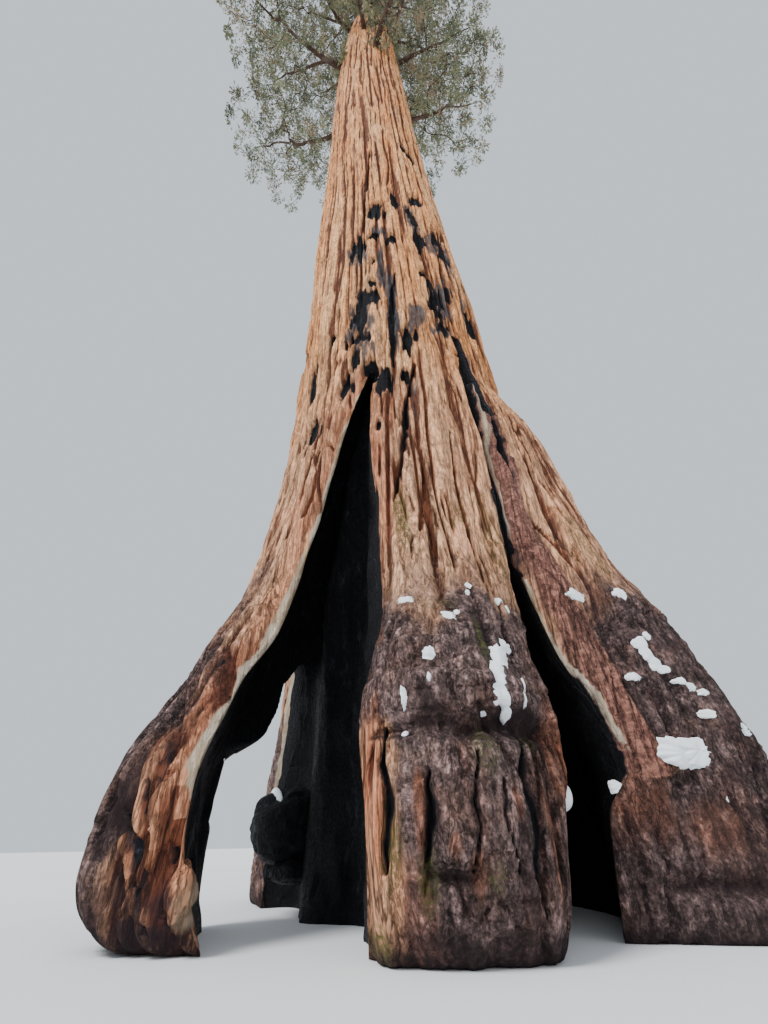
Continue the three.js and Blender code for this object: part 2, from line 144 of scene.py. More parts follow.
# Burn marks on the bark: angle, height, width, height of the mark.
BURNS = [
    (-7.7, 13.9, 0.42, 0.8), (8.5, 14.7, 0.26, 1.1), (20.1, 14, 0.26, 1.1), (23, 12.8, 0.28, 1.8),
    (27.8, 15.3, 0.4, 0.7), (41.3, 12.8, 0.4, 1.9), (-21, 12.2, 0.36, 1), (2.2, 12.3, 0.28, 0.4),
    (-9.3, 12.6, 0.34, 0.3), (-10, 11.3, 0.16, 0.28), (-11.8, 10.4, 0.18, 0.25), (-15.7, 9.84, 0.5, 0.8),
    (-18.7, 9.1, 0.36, 0.9), (-21.3, 8.35, 0.4, 0.42), (-20.6, 7.7, 0.2, 1), (-25.4, 7, 0.24, 0.6),
    (-15.3, 7.4, 0.34, 0.42), (-8.1, 7, 0.28, 0.78), (6.2, 8.2, 0.24, 0.64), (19.2, 10.8, 0.24, 0.34),
    (25.5, 9.85, 0.42, 1.1), (25.4, 9.2, 0.24, 0.7), (37.1, 10.6, 0.22, 0.64), (25.4, 8.8, 0.3, 0.5),
    (51.2, 10, 0.38, 1.2), (-52.2, 7.65, 0.42, 1.4), (-35.7, 8.7, 0.16, 0.36), (-44.5, 6.25, 0.56, 0.5),
    (-10.8, 5.7, 0.1, 0.3), (2, 7.1, 0.14, 0.24), (27.2, 20, 0.28, 0.8), (36.2, 19.7, 0.36, 1.1),
    (-74.6, 9.95, 0.5, 1.3), (34.8, 5.1, 0.13, 0.95), (33.4, 7.2, 0.16, 0.5), (128, 6.5, 0.5, 1.6),
    (150, 9.2, 0.4, 1.5), (-150, 7.4, 0.5, 1.2), (176, 12.2, 0.35, 1.3), (-118, 5.2, 0.4, 1.6), (96, 8.1, 0.3, 1.2),
]
# Grey ash on the bark round the burn marks: angle, height, width, height, strength.
ASHY = [
    (-5.5, 12.75, 0.3, 0.7, 0.9), (-6.8, 11, 0.15, 1.8, 0.9), (-21.5, 11.9, 0.4, 1.3, 0.7),
    (-20, 9.1, 0.5, 1.6, 0.75), (-17, 8.2, 0.4, 1, 0.7), (-1.5, 9.6, 0.2, 2.8, 0.85), (9.5, 8.9, 0.42, 0.8, 0.85),
    (19, 13.8, 0.35, 1.1, 0.85), (33, 12.9, 0.36, 1.3, 0.75), (43, 12.2, 0.3, 1.3, 0.75), (28, 9.9, 0.55, 1.6, 0.75),
    (36, 10.9, 0.3, 1.1, 0.6), (25, 8.7, 0.5, 0.9, 0.6), (47, 10.1, 0.3, 1.1, 0.6), (34, 7.6, 0.25, 1.5, 0.5),
    (5, 6.6, 0.2, 1.4, 0.4), (170, 10.5, 0.5, 2.4, 0.7), (-125, 7.5, 0.4, 2, 0.6), (140, 7.8, 0.5, 2, 0.6),
    (-165, 9, 0.4, 2, 0.6),
]
# Dark hollows of the old bark, sunk a little and darkened with painted shade: angle, height, width, height, strength.
DARK = [
    (-48.6, 0.95, 0.3, 0.5, 0.95), (-49.9, 0.75, 0.3, 0.4, 0.9), (-47.9, 1.22, 0.18, 0.4, 0.8),
    (-47, 0.45, 0.15, 0.35, 0.95), (-43.7, 0.44, 0.07, 0.32, 0.95), (-43.1, 0.68, 0.05, 0.2, 0.8),
    (-41.7, 0.32, 0.07, 0.24, 0.8), (-39.7, 0.33, 0.16, 0.26, 0.85), (-44, 0.1, 0.6, 0.26, 1),
    (-40.7, 0.06, 0.7, 0.22, 1), (8, 2.05, 0.1, 0.5, 0.8), (9.3, 2.4, 0.08, 0.3, 0.7), (6.7, 1.42, 0.3, 0.13, 0.9),
    (10.5, 1.41, 0.4, 0.17, 1), (15, 1.42, 0.35, 0.15, 0.95), (11.8, 1.47, 0.85, 0.16, 1),
    (1.4, 1.36, 0.5, 0.12, 0.7), (-2.4, 1.56, 0.1, 0.24, 0.8), (-0.8, 1.46, 0.18, 0.14, 0.8),
    (-7, 1.34, 0.3, 0.035, 0.9), (8.6, 0.5, 0.1, 0.6, 0.6), (6, 0.08, 0.5, 0.2, 0.8), (-3, 0.42, 0.3, 0.12, 0.6),
    (43, 2.45, 0.5, 0.8, 0.55), (50, 1.9, 0.3, 0.7, 0.6), (60, 1.6, 0.4, 1, 0.6), (56, 0.6, 0.6, 0.5, 0.5),
    (72, 1, 0.4, 0.9, 0.6), (-66, 1.1, 0.4, 0.9, 0.7),
]
# Long cracks: the way along each as (angle, height), half width, depth, and how burnt it is.
CRACKS = [
    ([(1.5, 10.6), (-1.8, 9.5), (-3.2, 8.5), (-3.5, 7.4)], 0.07, 0.08, 0.6),
    ([(6.5, 7.4), (1.9, 6.55), (-2.6, 5.3), (-6.3, 4.1)], 0.05, 0.15, 0.3),
    ([(-7.4, 19.2), (-11.3, 16.8), (-14.6, 14.8), (-16.3, 12.8)], 0.05, 0.13, 0.2),
    ([(31.6, 8.5), (33, 7.9), (34.4, 7.1), (34.6, 6.3)], 0.075, 0.2, 1.0),
    ([(34.6, 6.3), (34.6, 5.6), (34.0, 5.0)], 0.05, 0.1, 0.6),
    ([(28.6, 4.5), (28.4, 4.15), (28.7, 3.8), (29.4, 3.3)], 0.06, 0.3, 1.0),
    ([
        (32, 8.4), (31, 7.6), (29.5, 6.9), (29.7, 6.3), (29.7, 5.8), (29.1, 5.4), (29.1, 5), (28.8, 4.6), (28.4, 4.15),
    ], 0.042, 0.22, 1.0),
    ([(-8.6, 1.4), (-9.2, 1.15), (-8.5, 0.92), (-8.8, 0.72), (-9.2, 0.5)], 0.036, 0.14, 0.6),
    ([(-2.2, 1.1), (-2.7, 0.9), (-2.5, 0.78), (-3.7, 0.55)], 0.032, 0.12, 0.45),
    ([(4.2, 1.2), (2.9, 0.9), (3.1, 0.75), (2.0, 0.5)], 0.024, 0.08, 0.3),
    ([(11.8, 1.35), (10.2, 1.05), (10.6, 0.8), (9.8, 0.55), (10.4, 0.25)], 0.034, 0.1, 0.4),
    ([(7.4, 1.05), (6.4, 0.8), (7.5, 0.45)], 0.02, 0.06, 0.2),
    ([(16, 5.6), (14, 4.6), (13.5, 3.6), (14.5, 2.8)], 0.035, 0.08, 0.0),
    ([(3.5, 4.9), (2.5, 4.0), (3.3, 3.2)], 0.035, 0.08, 0.0),
    ([(44, 5.4), (42, 4.4), (43, 3.4)], 0.05, 0.1, 0.2),
    ([(-58, 2.3), (-60, 1.6), (-57, 0.9), (-58, 0.3)], 0.06, 0.14, 0.4),
    ([(-67, 1.7), (-69, 1.1), (-66, 0.4)], 0.06, 0.13, 0.4),
    ([(-49, 1.65), (-47, 1.2), (-46.4, 0.85), (-45, 0.6), (-44.7, 0.35)], 0.034, 0.12, 0.5),
    ([(-46, 1.45), (-44.4, 1.1), (-43.7, 0.84), (-42.7, 0.5)], 0.026, 0.1, 0.4),
    ([(-45.3, 1.8), (-43.3, 1.25), (-43, 0.8)], 0.022, 0.08, 0.3),
    ([(-43.9, 0.75), (-43.4, 0.42), (-42.5, 0.15)], 0.026, 0.09, 0.4),
    ([(-48.7, 0.98), (-46.9, 0.6), (-45.7, 0.25)], 0.034, 0.12, 0.5),
    ([(-48.6, 2.05), (-46.2, 1.55), (-45.2, 1.15)], 0.024, 0.09, 0.4),
    ([(-45.6, 2.6), (-45, 2.0), (-45.9, 1.5)], 0.022, 0.07, 0.3),
    ([(-44.6, 2.3), (-45, 2.9), (-45.3, 3.5)], 0.022, 0.07, 0.3),
    ([(-41.5, 0.68), (-41.3, 0.35), (-40.8, 0.12)], 0.022, 0.08, 0.3),
    ([(-52, 3.1), (-50.6, 2.3), (-50, 1.65)], 0.03, 0.1, 0.4),
]
# The long crack above the right hollow has a pale rim on its right: height, angle.
CRACK_RIM = [
    (3.8, 28.7), (4.15, 28.4), (4.6, 28.8), (5, 29.1), (5.4, 29.1), (5.8, 29.7), (6.3, 29.7), (6.9, 29.5), (7.4, 30.6),
]
# Patches of colour: angle, height, width, height, strength.
MOSS = [
    (-8.2, 0.6, 0.2, 0.5, 0.7), (-3.4, 0.47, 0.12, 0.3, 0.75), (-10.9, 0.12, 0.2, 0.2, 0.7),
    (4.2, 0.47, 0.1, 0.14, 0.6), (8, 2.15, 0.1, 0.5, 0.9), (14, 1.3, 0.24, 0.1, 0.5), (5.5, 1.2, 0.16, 0.24, 0.5),
    (-4.3, 3.9, 0.14, 0.8, 0.8), (12.5, 3.9, 0.2, 0.4, 0.5), (22, 3.6, 0.3, 1.6, 0.35), (-68, 0.95, 0.3, 0.5, 0.6),
    (46, 3.7, 0.3, 1.2, 0.4), (3, 2.55, 0.4, 0.2, 0.3), (110, 1.2, 0.9, 1.6, 0.7), (158, 0.9, 1, 1.4, 0.8),
    (-145, 1.1, 0.9, 1.5, 0.7), (178, 3.2, 0.9, 2.2, 0.45), (135, 4.5, 0.5, 2.5, 0.4),
]
FRESH = [
    (-12, 4.6, 0.5, 3, 0.95), (-11.4, 0.98, 0.24, 0.95, 0.95), (-10.5, 6.4, 0.6, 1.6, 0.9),
    (-45.8, 1.4, 0.34, 0.5, 0.8), (-45, 2, 0.3, 1.2, 0.3), (-44.5, 0.75, 0.4, 0.8, 0.6),
    (-38.8, 0.42, 0.45, 0.55, 0.95), (-41, 4, 0.3, 2.2, 0.7), (21, 1.2, 0.4, 0.75, 0.85), (-34, 6, 0.5, 1.6, 0.6),
    (-4.2, 0.85, 0.09, 0.5, 0.8), (-5.5, 0.3, 0.24, 0.5, 0.45), (20, 0.5, 0.12, 0.6, 0.5),
    (8.2, 0.86, 0.05, 0.22, 0.8), (-0.5, 0.63, 0.08, 0.12, 0.6), (2.2, 0.5, 0.08, 0.2, 0.6),
    (13, 0.7, 0.06, 0.6, 0.6), (37.5, 0.9, 0.3, 0.6, 0.55), (43, 0.75, 0.3, 0.35, 0.45), (38, 1.6, 0.2, 0.9, 0.35),
]
# Reddish scaly strips: the way along each as (angle, height), half width.
REDDISH = [
    ([
        (33.4, 7), (34, 6.3), (34.2, 5.6), (33.6, 4.8), (32.4, 4.3), (33.6, 3.9), (34.6, 3.3), (34.8, 2.8), (35.6, 2.3),
        (37, 1.6), (38.4, 1.2),
    ], 0.13),
    ([(-128, 3.2), (-130, 2.2), (-131, 1.0)], 0.3),
]
# Overhangs: angle from, angle to, height, thickness, depth.
OVERHANGS = [
    (-5, 3, 1.44, 0.07, 0.07), (2, 19, 1.38, 0.09, 0.16), (-10, -5, 1.36, 0.025, 0.06), (-4, 1.8, 0.5, 0.045, 0.1),
    (37, 62, 0.36, 0.08, 0.12),
]
# Snow lying on the bark: angle, height, width, height of each patch.
SNOW = [
    (13.2, 2.13, 0.2, 0.13), (10.4, 1.96, 0.2, 0.26), (8.9, 1.78, 0.16, 0.26), (8.8, 1.64, 0.15, 0.2),
    (9.9, 1.53, 0.09, 0.16), (14.2, 1.75, 0.025, 0.12), (13.6, 1.62, 0.035, 0.12), (6.2, 1.5, 0.06, 0.05),
    (-4.4, 2.55, 0.16, 0.09), (9.4, 2.82, 0.08, 0.1), (8.6, 2.72, 0.06, 0.07), (16.8, 2.72, 0.14, 0.09),
    (18.6, 2.62, 0.1, 0.1), (3, 2.36, 0.14, 0.11), (4.8, 2.42, 0.07, 0.07), (-1.4, 1.96, 0.12, 0.14),
    (-1.7, 1.74, 0.04, 0.08), (-5.5, 1.6, 0.06, 0.2), (-5.6, 1.35, 0.08, 0.05), (38.2, 2.9, 0.24, 0.16),
    (46.7, 2.94, 0.24, 0.16), (44.9, 2.38, 0.08, 0.1), (43.9, 2.3, 0.1, 0.15), (44.1, 2.18, 0.1, 0.17),
    (44.8, 2.09, 0.11, 0.13), (45.5, 2.03, 0.12, 0.09), (46.6, 1.91, 0.12, 0.08), (47.9, 1.86, 0.14, 0.09),
    (49.1, 1.81, 0.12, 0.07), (41.6, 1.97, 0.17, 0.09), (43.4, 1.27, 0.56, 0.28), (45.2, 1.3, 0.44, 0.24),
    (47.8, 1.6, 0.22, 0.1), (55.2, 1.46, 0.42, 0.2), (35.6, 1.04, 0.06, 0.1), (45.9, 0.92, 0.04, 0.07),
    (88, 2.2, 0.5, 0.24), (70, 2.35, 0.4, 0.2), (118, 1.5, 0.4, 0.25), (168, 1.6, 0.5, 0.25), (-137, 1.7, 0.5, 0.3),
    (-64, 1.35, 0.16, 0.14), (-60, 1.75, 0.14, 0.12),
]
SNOW_LUMP = {"centre": (1.03, -2.3, 0.98), "radii": (0.1, 0.13, 0.13)}

CROWN = {"bottom": 34.5, "top": 64.5, "boughs": 26, "turn": 137.508, "start": 105}
# How far the crown reaches out at each height.
CROWN_REACH = [(30, 8.6), (38, 9.1), (46, 8.9), (54, 8), (61, 6.5), (67, 4.8), (72, 2.2)]
REACH_JITTER = 0.08
FULL_SIDE = {"azimuth": -70, "share": 0.1}
BOUGH = {"thickness": (0.34, 0.16), "tip": 0.45, "sag": 0.16, "rise": (-0.02, 0.62), "swing": 0.12}
MASS = {"along": (2.7, 2.0), "across": (4.0, 2.9), "up": (2.9, 2.6), "entry": 0.93}
# The masses round the tip: angle, height, distance out, radii; then the one over it: height, radii.
TOP_MASSES = [(-70, 67.6, 1.9, (1.95, 2.0, 1.9)), (50, 67.2, 1.8, (1.9, 2.0, 1.9)), (170, 67.9, 1.8, (1.9, 2.0, 1.9))]
CROWN_TIP = (70.7, (1.7, 1.7, 1.6))
# How thick the stems of those masses are.
TOP_STEM = 0.09
# From one finger of a spray to the next, in radians.
GOLDEN_TURN = 2.39996
FOLIAGE_PIECES = 7
PIECE_TRIANGLES = 185000

NOISE_FACTORS = (374761393, 668265263, 1103515245)
# Lamps: name, strength, tilt, turn and width in degrees.
LAMPS = [("key light", 3.3, 42, -48, 20), ("front light", 0.9, 70, 14, 60)]
CAMERA = {"place": (-0.46, -7.0, 0.65), "pitch": 36.2, "roll": -math.atan2(12, 622)}

# ---------------------------------------------------------------- sizes and colours


def length(label, what, default):
    return bpy.props.FloatProperty(name=label, description=what, default=default, min=0, unit="LENGTH")


def count(label, what, default):
    return bpy.props.IntProperty(name=label, description=what, default=default, min=1)


def colour(label, what, default):
    return bpy.props.FloatVectorProperty(
        name=label, description=what, default=default, size=3, min=0, max=1, subtype="COLOR"
    )


class RedwoodSizes(bpy.types.PropertyGroup):
    bark_depth: length("Bark depth", "From the crest of a bark ridge to the bottom of its furrow", 0.062)
    ridges: count("Ridges", "Broad ridges of bark round the trunk", 30)
    wrinkle_depth: length("Wrinkle depth", "Of the level wrinkles on the old legs", 0.03)
    char_depth: length("Char depth", "How rough the burnt hollows are", 0.045)
    twig_sides: count("Twig sides", "Sides of the round twigs", 5)
    tufts: count("Tufts", "Tufts of foliage in each mass", 98)
    side_tufts: count("Side tufts", "Tufts on short twigs along each bough", 16)
    sprays: count("Sprays", "Sprays in each tuft", 50)
    spray_length: length("Spray length", "Of the longest sprays of foliage", 0.15)
    snow_depth: length("Snow depth", "Thickness of the lying snow", 0.009)


class RedwoodColours(bpy.types.PropertyGroup):
    ridge: colour("Bark ridge", "Crests of the upper bark", (0.74, 0.295, 0.10))
    # The furrow colours (furrow, old_furrow, fresh_furrow, strip_furrow) are partly the bark's own colour and partly
    # painted shade in the furrows.
    furrow: colour("Bark furrow", "Bottoms of the furrows", (0.15, 0.048, 0.022))
    pale_bark: colour("Pale bark", "Bleached straps of bark", (0.88, 0.47, 0.22))
    low_bark: colour("Low bark", "Crests of the bark within reach of the ground", (0.65, 0.37, 0.235))
    red_bark: colour("Red bark", "Rubbed patches that show red", (0.34, 0.11, 0.05))
    old_furrow: colour("Old furrow", "Deepest places of the old bark", (0.016, 0.008, 0.010))
    old_rust: colour("Old rust", "Rusty patches of the old bark", (0.19, 0.10, 0.08))
    old_stain: colour("Old stain", "Dark patches of the old bark", (0.05, 0.028, 0.03))
    weathered: colour("Weathered bark", "Old bark of the legs", (0.26, 0.175, 0.165))
    fresh: colour("Fresh bark", "Bark beside the hollows", (0.55, 0.20, 0.10))
    fresh_furrow: colour("Fresh furrow", "Furrows of the bark beside the hollows", (0.14, 0.04, 0.022))
    strip_furrow: colour("Strip furrow", "Furrows of the reddish strips", (0.05, 0.015, 0.012))
    strip_dark: colour("Strip", "Reddish strips between their scales", (0.10, 0.038, 0.036))
    strip_bright: colour("Strip scale", "Scales of the reddish strips", (0.38, 0.17, 0.13))
    # Painted shade: near-black laid by the ground, under overhangs and in the dark hollows; it also darkens the right
    # leg.
    shade_and_dark_bark: colour("Shade and dark bark", "Painted shade by the ground, under overhangs and in hollows; the darker right leg", (0.028, 0.014, 0.017))
    pale_wood: colour("Pale wood", "New wood rolled over the lips", (0.62, 0.52, 0.40))
    wood_grain: colour("Wood grain", "Darker grain of the new wood", (0.42, 0.30, 0.18))
    dust_dark: colour("Dark dust", "Ash on the bark round the burns", (0.032, 0.036, 0.047))
    dust_bright: colour("Bright dust", "The palest of that ash", (0.105, 0.107, 0.118))
    smear: colour("Smear", "Soot smeared round a burn", (0.055, 0.05, 0.06))
    char: colour("Char", "Burnt wood", (0.006, 0.006, 0.009))
    # The ash colour flecks the char: partly grey ash, partly a painted blue-grey sheen.
    ash: colour("Ash", "Dusty burnt wood", (0.07, 0.08, 0.10))
    moss: colour("Moss", "Moss and lichen", (0.10, 0.12, 0.02))
    limb: colour("Limb bark", "Bark of boughs and twigs", (0.11, 0.065, 0.045))
    limb_furrow: colour("Limb furrow", "Between the scales of limb bark", (0.035, 0.020, 0.014))
    limb_pale: colour("Pale limb bark", "Lichen on boughs and twigs", (0.16, 0.125, 0.10))
    leaf_deep: colour("Deep foliage", "Old sprays", (0.096, 0.11, 0.068))
    leaf_mid: colour("Foliage", "Most sprays", (0.19, 0.208, 0.112))
    leaf_bright: colour("Bright foliage", "Young sprays", (0.30, 0.305, 0.17))
    leaf_brown: colour("Brown foliage", "Sprays with cones and browned ends", (0.34, 0.24, 0.15))
    snow: colour("Snow", "Lying snow", (0.82, 0.85, 0.88))
    floor: colour("Floor", "Studio floor", (0.78, 0.79, 0.80))
    sky: colour("Sky", "Studio light from all round", (0.80, 0.87, 0.95))


# ---------------------------------------------------------------- shapes by rule


def along(table, h, column=1):
    """Values of a table at heights h, on a smooth line through its rows that never overshoots them."""
    rows = np.array(table, float)
    xs, ys = rows[:, 0], rows[:, column]
    step = np.diff(xs)
    slope = np.diff(ys) / step
    tangent = np.zeros(len(xs))
    before, after = slope[:-1], slope[1:]
    with np.errstate(divide="ignore", invalid="ignore"):
        tangent[1:-1] = np.where(before * after > 0, 2 * before * after / (before + after), 0)
    tangent[0], tangent[-1] = slope[0], slope[-1]
    h = np.asarray(h, float)
    i = np.clip(np.searchsorted(xs, h, side="right") - 1, 0, len(xs) - 2)
    t = np.clip((h - xs[i]) / step[i], 0, 1)
    return (
        (2 * t**3 - 3 * t**2 + 1) * ys[i] + (t**3 - 2 * t**2 + t) * step[i] * tangent[i]
        + (3 * t**2 - 2 * t**3) * ys[i + 1] + (t**3 - t**2) * step[i] * tangent[i + 1]
    )


def lerp(a, b, t):
    return a + (b - a) * t


def fade(low, high, x):
    """0 below low, 1 above high, smooth between."""
    t = np.clip((x - low) / (high - low), 0, 1)
    return t * t * (3 - 2 * t)


def band(low, high, soft, x):
    """1 between low and high, with soft edges."""
    return fade(low - soft, low + soft, x) * (1 - fade(high - soft, high + soft, x))


def bell(x, half):
    """1 where x is 0, falling off on both sides."""
    return np.exp(-((x / half) ** 2))


def most(*values):
    """The largest of several values, point by point."""
    return functools.reduce(np.maximum, values)


def step_down(*steps):
    """1 at first, less by a share past each edge; a step is its share, low, high and the values it is measured on."""
    total = 1
    for share, low, high, x in steps:
        total = total - share * fade(low, high, x)
    return total


def rounding(h, reach):
    """How far a foot is rounded off above the ground: 1 at the ground, 0 from this height up."""
    return 1 - np.sqrt(1 - np.clip(1 - np.maximum(h, 0) / reach, 0, 1) ** 2)


def rough(points, seed):
    """Smooth noise, about -1 to 1, at points of any spacing; the same every time."""
    cell = np.floor(points).astype(np.int64)
    f = points - cell
    f = f * f * (3 - 2 * f)
    sides = [(1 - f[..., k], f[..., k]) for k in range(3)]
    steps = [[(cell[..., k] + d) * factor for d in (0, 1)] for k, factor in enumerate(NOISE_FACTORS)]
    total = 0
    for dx, dy, dz in itertools.product((0, 1), repeat=3):
        n = steps[0][dx] + steps[1][dy] + steps[2][dz] + seed * 12345701
        n = (n ^ (n >> 13)) & 0xFFFFFFFF
        n = (n * 1274126177) & 0xFFFFFFFF
        n = (n ^ (n >> 16)) & 0xFFFFFF
        total = total + sides[0][dx] * sides[1][dy] * sides[2][dz] * (n / 0x7FFFFF - 1)
    return total


def noises(place, *layers):
    """Layers of noise added up, each as its strength, scale across, scale upwards and seed."""
    return sum(strength * rough(place * (across, across, up), seed) for strength, across, up, seed in layers)


def turned(az):
    """An angle brought between -180 and 180."""
    return (az + 180) % 360 - 180


def heading(az):
    """The level direction at an angle, as x and y."""
    return np.sin(np.radians(az)), -np.cos(np.radians(az))


def on_axis(az, h, radius):
    """Points this far out from the trunk's axis."""
    x, y = heading(az)
    return np.stack([along(TRUNK_AXIS, h) + x * radius, y * radius, h], -1)


def place_on(az, h):
    """Points on a drum of even girth, so a pattern on them closes round the trunk."""
    x, y = heading(az)
    return np.stack([3 * x, 3 * y, h], -1)


def trunk_radius(az, h):
    """The trunk without its bark relief, as in the part's source."""
    radius = along(TRUNK_TAPER, h)
    for azimuth, spread, reach in LEGS:
        out = np.where(h < reach[-1][0], along(reach, h), 0)
        radius = radius + out * np.exp(-np.abs(turned(az - azimuth) / spread) ** LEG_EDGE)
    flute = FLUTES["depth"] * np.maximum(0, 1 - h / FLUTES["fade_height"])
    return radius + flute * np.cos(FLUTES["count"] * np.radians(az + FLUTES["twist"] * h))


def furrows(az, h, girth, around, reach, sway, seed):
    """A set of long furrows that wander up the trunk: metres to the nearest, how alive it is there, and its number."""
    place = place_on(az, h)
    u = around * az / 360 + sway * rough(place * (0.7, 0.7, 1 / reach), seed)
    u = u + 0.22 * sway * rough(place * (2.4, 2.4, 3 / reach), seed + 1)
    line = np.round(u) % around
    gap = np.abs(u - np.round(u)) * 2 * np.pi * girth / around
    alive = fade(-0.5, 0.15, rough(np.stack([line * 5.3, line * 2.9, 2.4 * h / reach], -1), seed + 2))
    return gap, alive, line


def network(place, across, up, half, seed):
    """1 in the cracks of a net and 0 between; a crack, half this wide, runs where a stretched pattern changes sign."""
    bent = 0.5 * rough(place * (0.9, 0.9, 0.6), seed + 2)[..., None]

    def level(spots):
        spots = spots * (across, across, up) + bent
        return rough(spots, seed) + 0.4 * rough(spots * 2.3, seed + 1)

    if up > across:
        step = np.array((0, 0, 0.03))
    else:
        step = 0.01 * np.stack([-place[..., 1], place[..., 0], 0 * place[..., 0]], -1)
    here = level(place)
    slope = (level(place + step) - here) / 0.03
    gap = np.abs(here) / np.hypot(slope, 0.45 * max(across, up))
    return np.exp(-((gap / half) ** 1.5)) * fade(0.3, 0.9, np.abs(slope) / max(across, up))


def overhangs(az, h):
    """How strongly painted shade falls on each point under an overhang, and how deep it is cut there."""
    shade, deep = 0, 0
    wavy = 0.05 * rough(place_on(az, h * 0) * 2.6, 27)
    for start, end, height, thick, depth in OVERHANGS:
        mask = band(start, end, 2, az) * bell(h - height - wavy, thick)
        shade, deep = np.maximum(shade, mask), np.maximum(deep, depth * mask)
    return shade, deep


def patches(table, az, h, girth, seed, torn=1.2):
    """How strongly a table of patches shows at each point, with ragged edges."""
    ragged = torn * noises(place_on(az, h), (0.55, 8, 1.8, seed), (0.3, 19, 4.5, seed + 1))
    best = np.zeros(np.shape(az))
    for azimuth, height, width, tall, *strength in table:
        span = np.hypot(np.radians(turned(az - azimuth)) * girth / (width / 2), (h - height) / (tall / 2))
        best = np.maximum(best, (strength or [1])[0] * (1 - fade(0.55, 1.5, span + ragged)))
    return best


def line_distance(way, az, h, girth, taper=0):
    """Metres from each point to a line on the bark; a tapered line counts as further off towards its ends."""
    nearest = np.full(np.shape(az), 9.0)
    for k, ((a0, h0), (a1, h1)) in enumerate(zip(way, way[1:])):
        px, py = np.radians(turned(az - a0)) * girth, h - h0
        dx, dy = math.radians(a1 - a0) * girth, h1 - h0
        t = np.clip((px * dx + py * dy) / (dx * dx + dy * dy), 0, 1)
        full = 1 - taper + taper * np.sin(np.pi * (k + t) / (len(way) - 1))
        nearest = np.minimum(nearest, np.hypot(px - t * dx, py - t * dy) / full)
    return nearest


def cracks_near(az, h, girth):
    """Each long crack: metres to it, its half width, depth and how burnt it is. Only the fully burnt run smooth."""
    shaken = az + np.degrees(noises(place_on(az, h), (0.018, 17, 8, 21), (0.02, 5, 2.2, 22)) / girth)
    for way, half, sunk, burnt in CRACKS:
        smooth_run = burnt == 1
        yield line_distance(way, az if smooth_run else shaken, h, girth, 0 if smooth_run else 0.75), half, sunk, burnt


def strips(az, h, girth, whole, ragged=0):
    """How much a reddish strip shows at each point; it is whole out to this share of its half width."""
    return most(*(1 - fade(whole, 1.3, line_distance(way, az, h, girth) / half + ragged) for way, half in REDDISH))


def lips(hollow, az, h, girth):
    """Distance in metres outside the left and right lips of a hollow, and whether it reaches this height."""
    left = np.radians(along(hollow["mouth"], h, 1) - az) * girth
    right = np.radians(az - along(hollow["mouth"], h, 2)) * girth
    return left, right, h < hollow["mouth"][-1][0]


def old_legs(az, h):
    """Where the bark is old and wrinkled: the front leg's waist and foot, the right, back and left legs."""
    place = place_on(az, h)
    edge = 0.25 * rough(place * 2.2, 31)
    low, lower = h + edge, h + 2 * edge
    tongued = low + 0.35 * rough(place * (3.4, 3.4, 0.5), 32)
    waist = band(-15, 30, 2, az + 4 * edge) * fade(1.28, 1.56, low)
    waist = waist * step_down((0.5, 2.3, 2.9, tongued), (0.5, 2.8, 3.9, tongued))
    foot = band(-7.5, 30, 2, az + 4 * edge) * band(-1, 1.42, 0.1, low)
    right = band(45, 100, 4, az + 10 * edge) * step_down((0.55, 2.6, 3.2, low), (0.45, 3.1, 4.4, tongued))
    right = right + band(37, 46, 1.5, az + 4 * edge) * step_down((0.55, 2.3, 2.9, low), (0.45, 2.8, 4, tongued))
    right = right + band(31, 38, 1.5, az + 4 * edge) * step_down((1, 1, 1.4, low))
    back = (1 - band(-100, 100, 5, az)) * step_down((1, 1.8, 2.8, lower))
    left = band(-100, -40, 4, az + 6 * edge) * step_down((0.5, 1.9, 2.9, lower), (0.5, 3, 4.6, lower))
    return waist, foot, np.minimum(right, 1), back, left


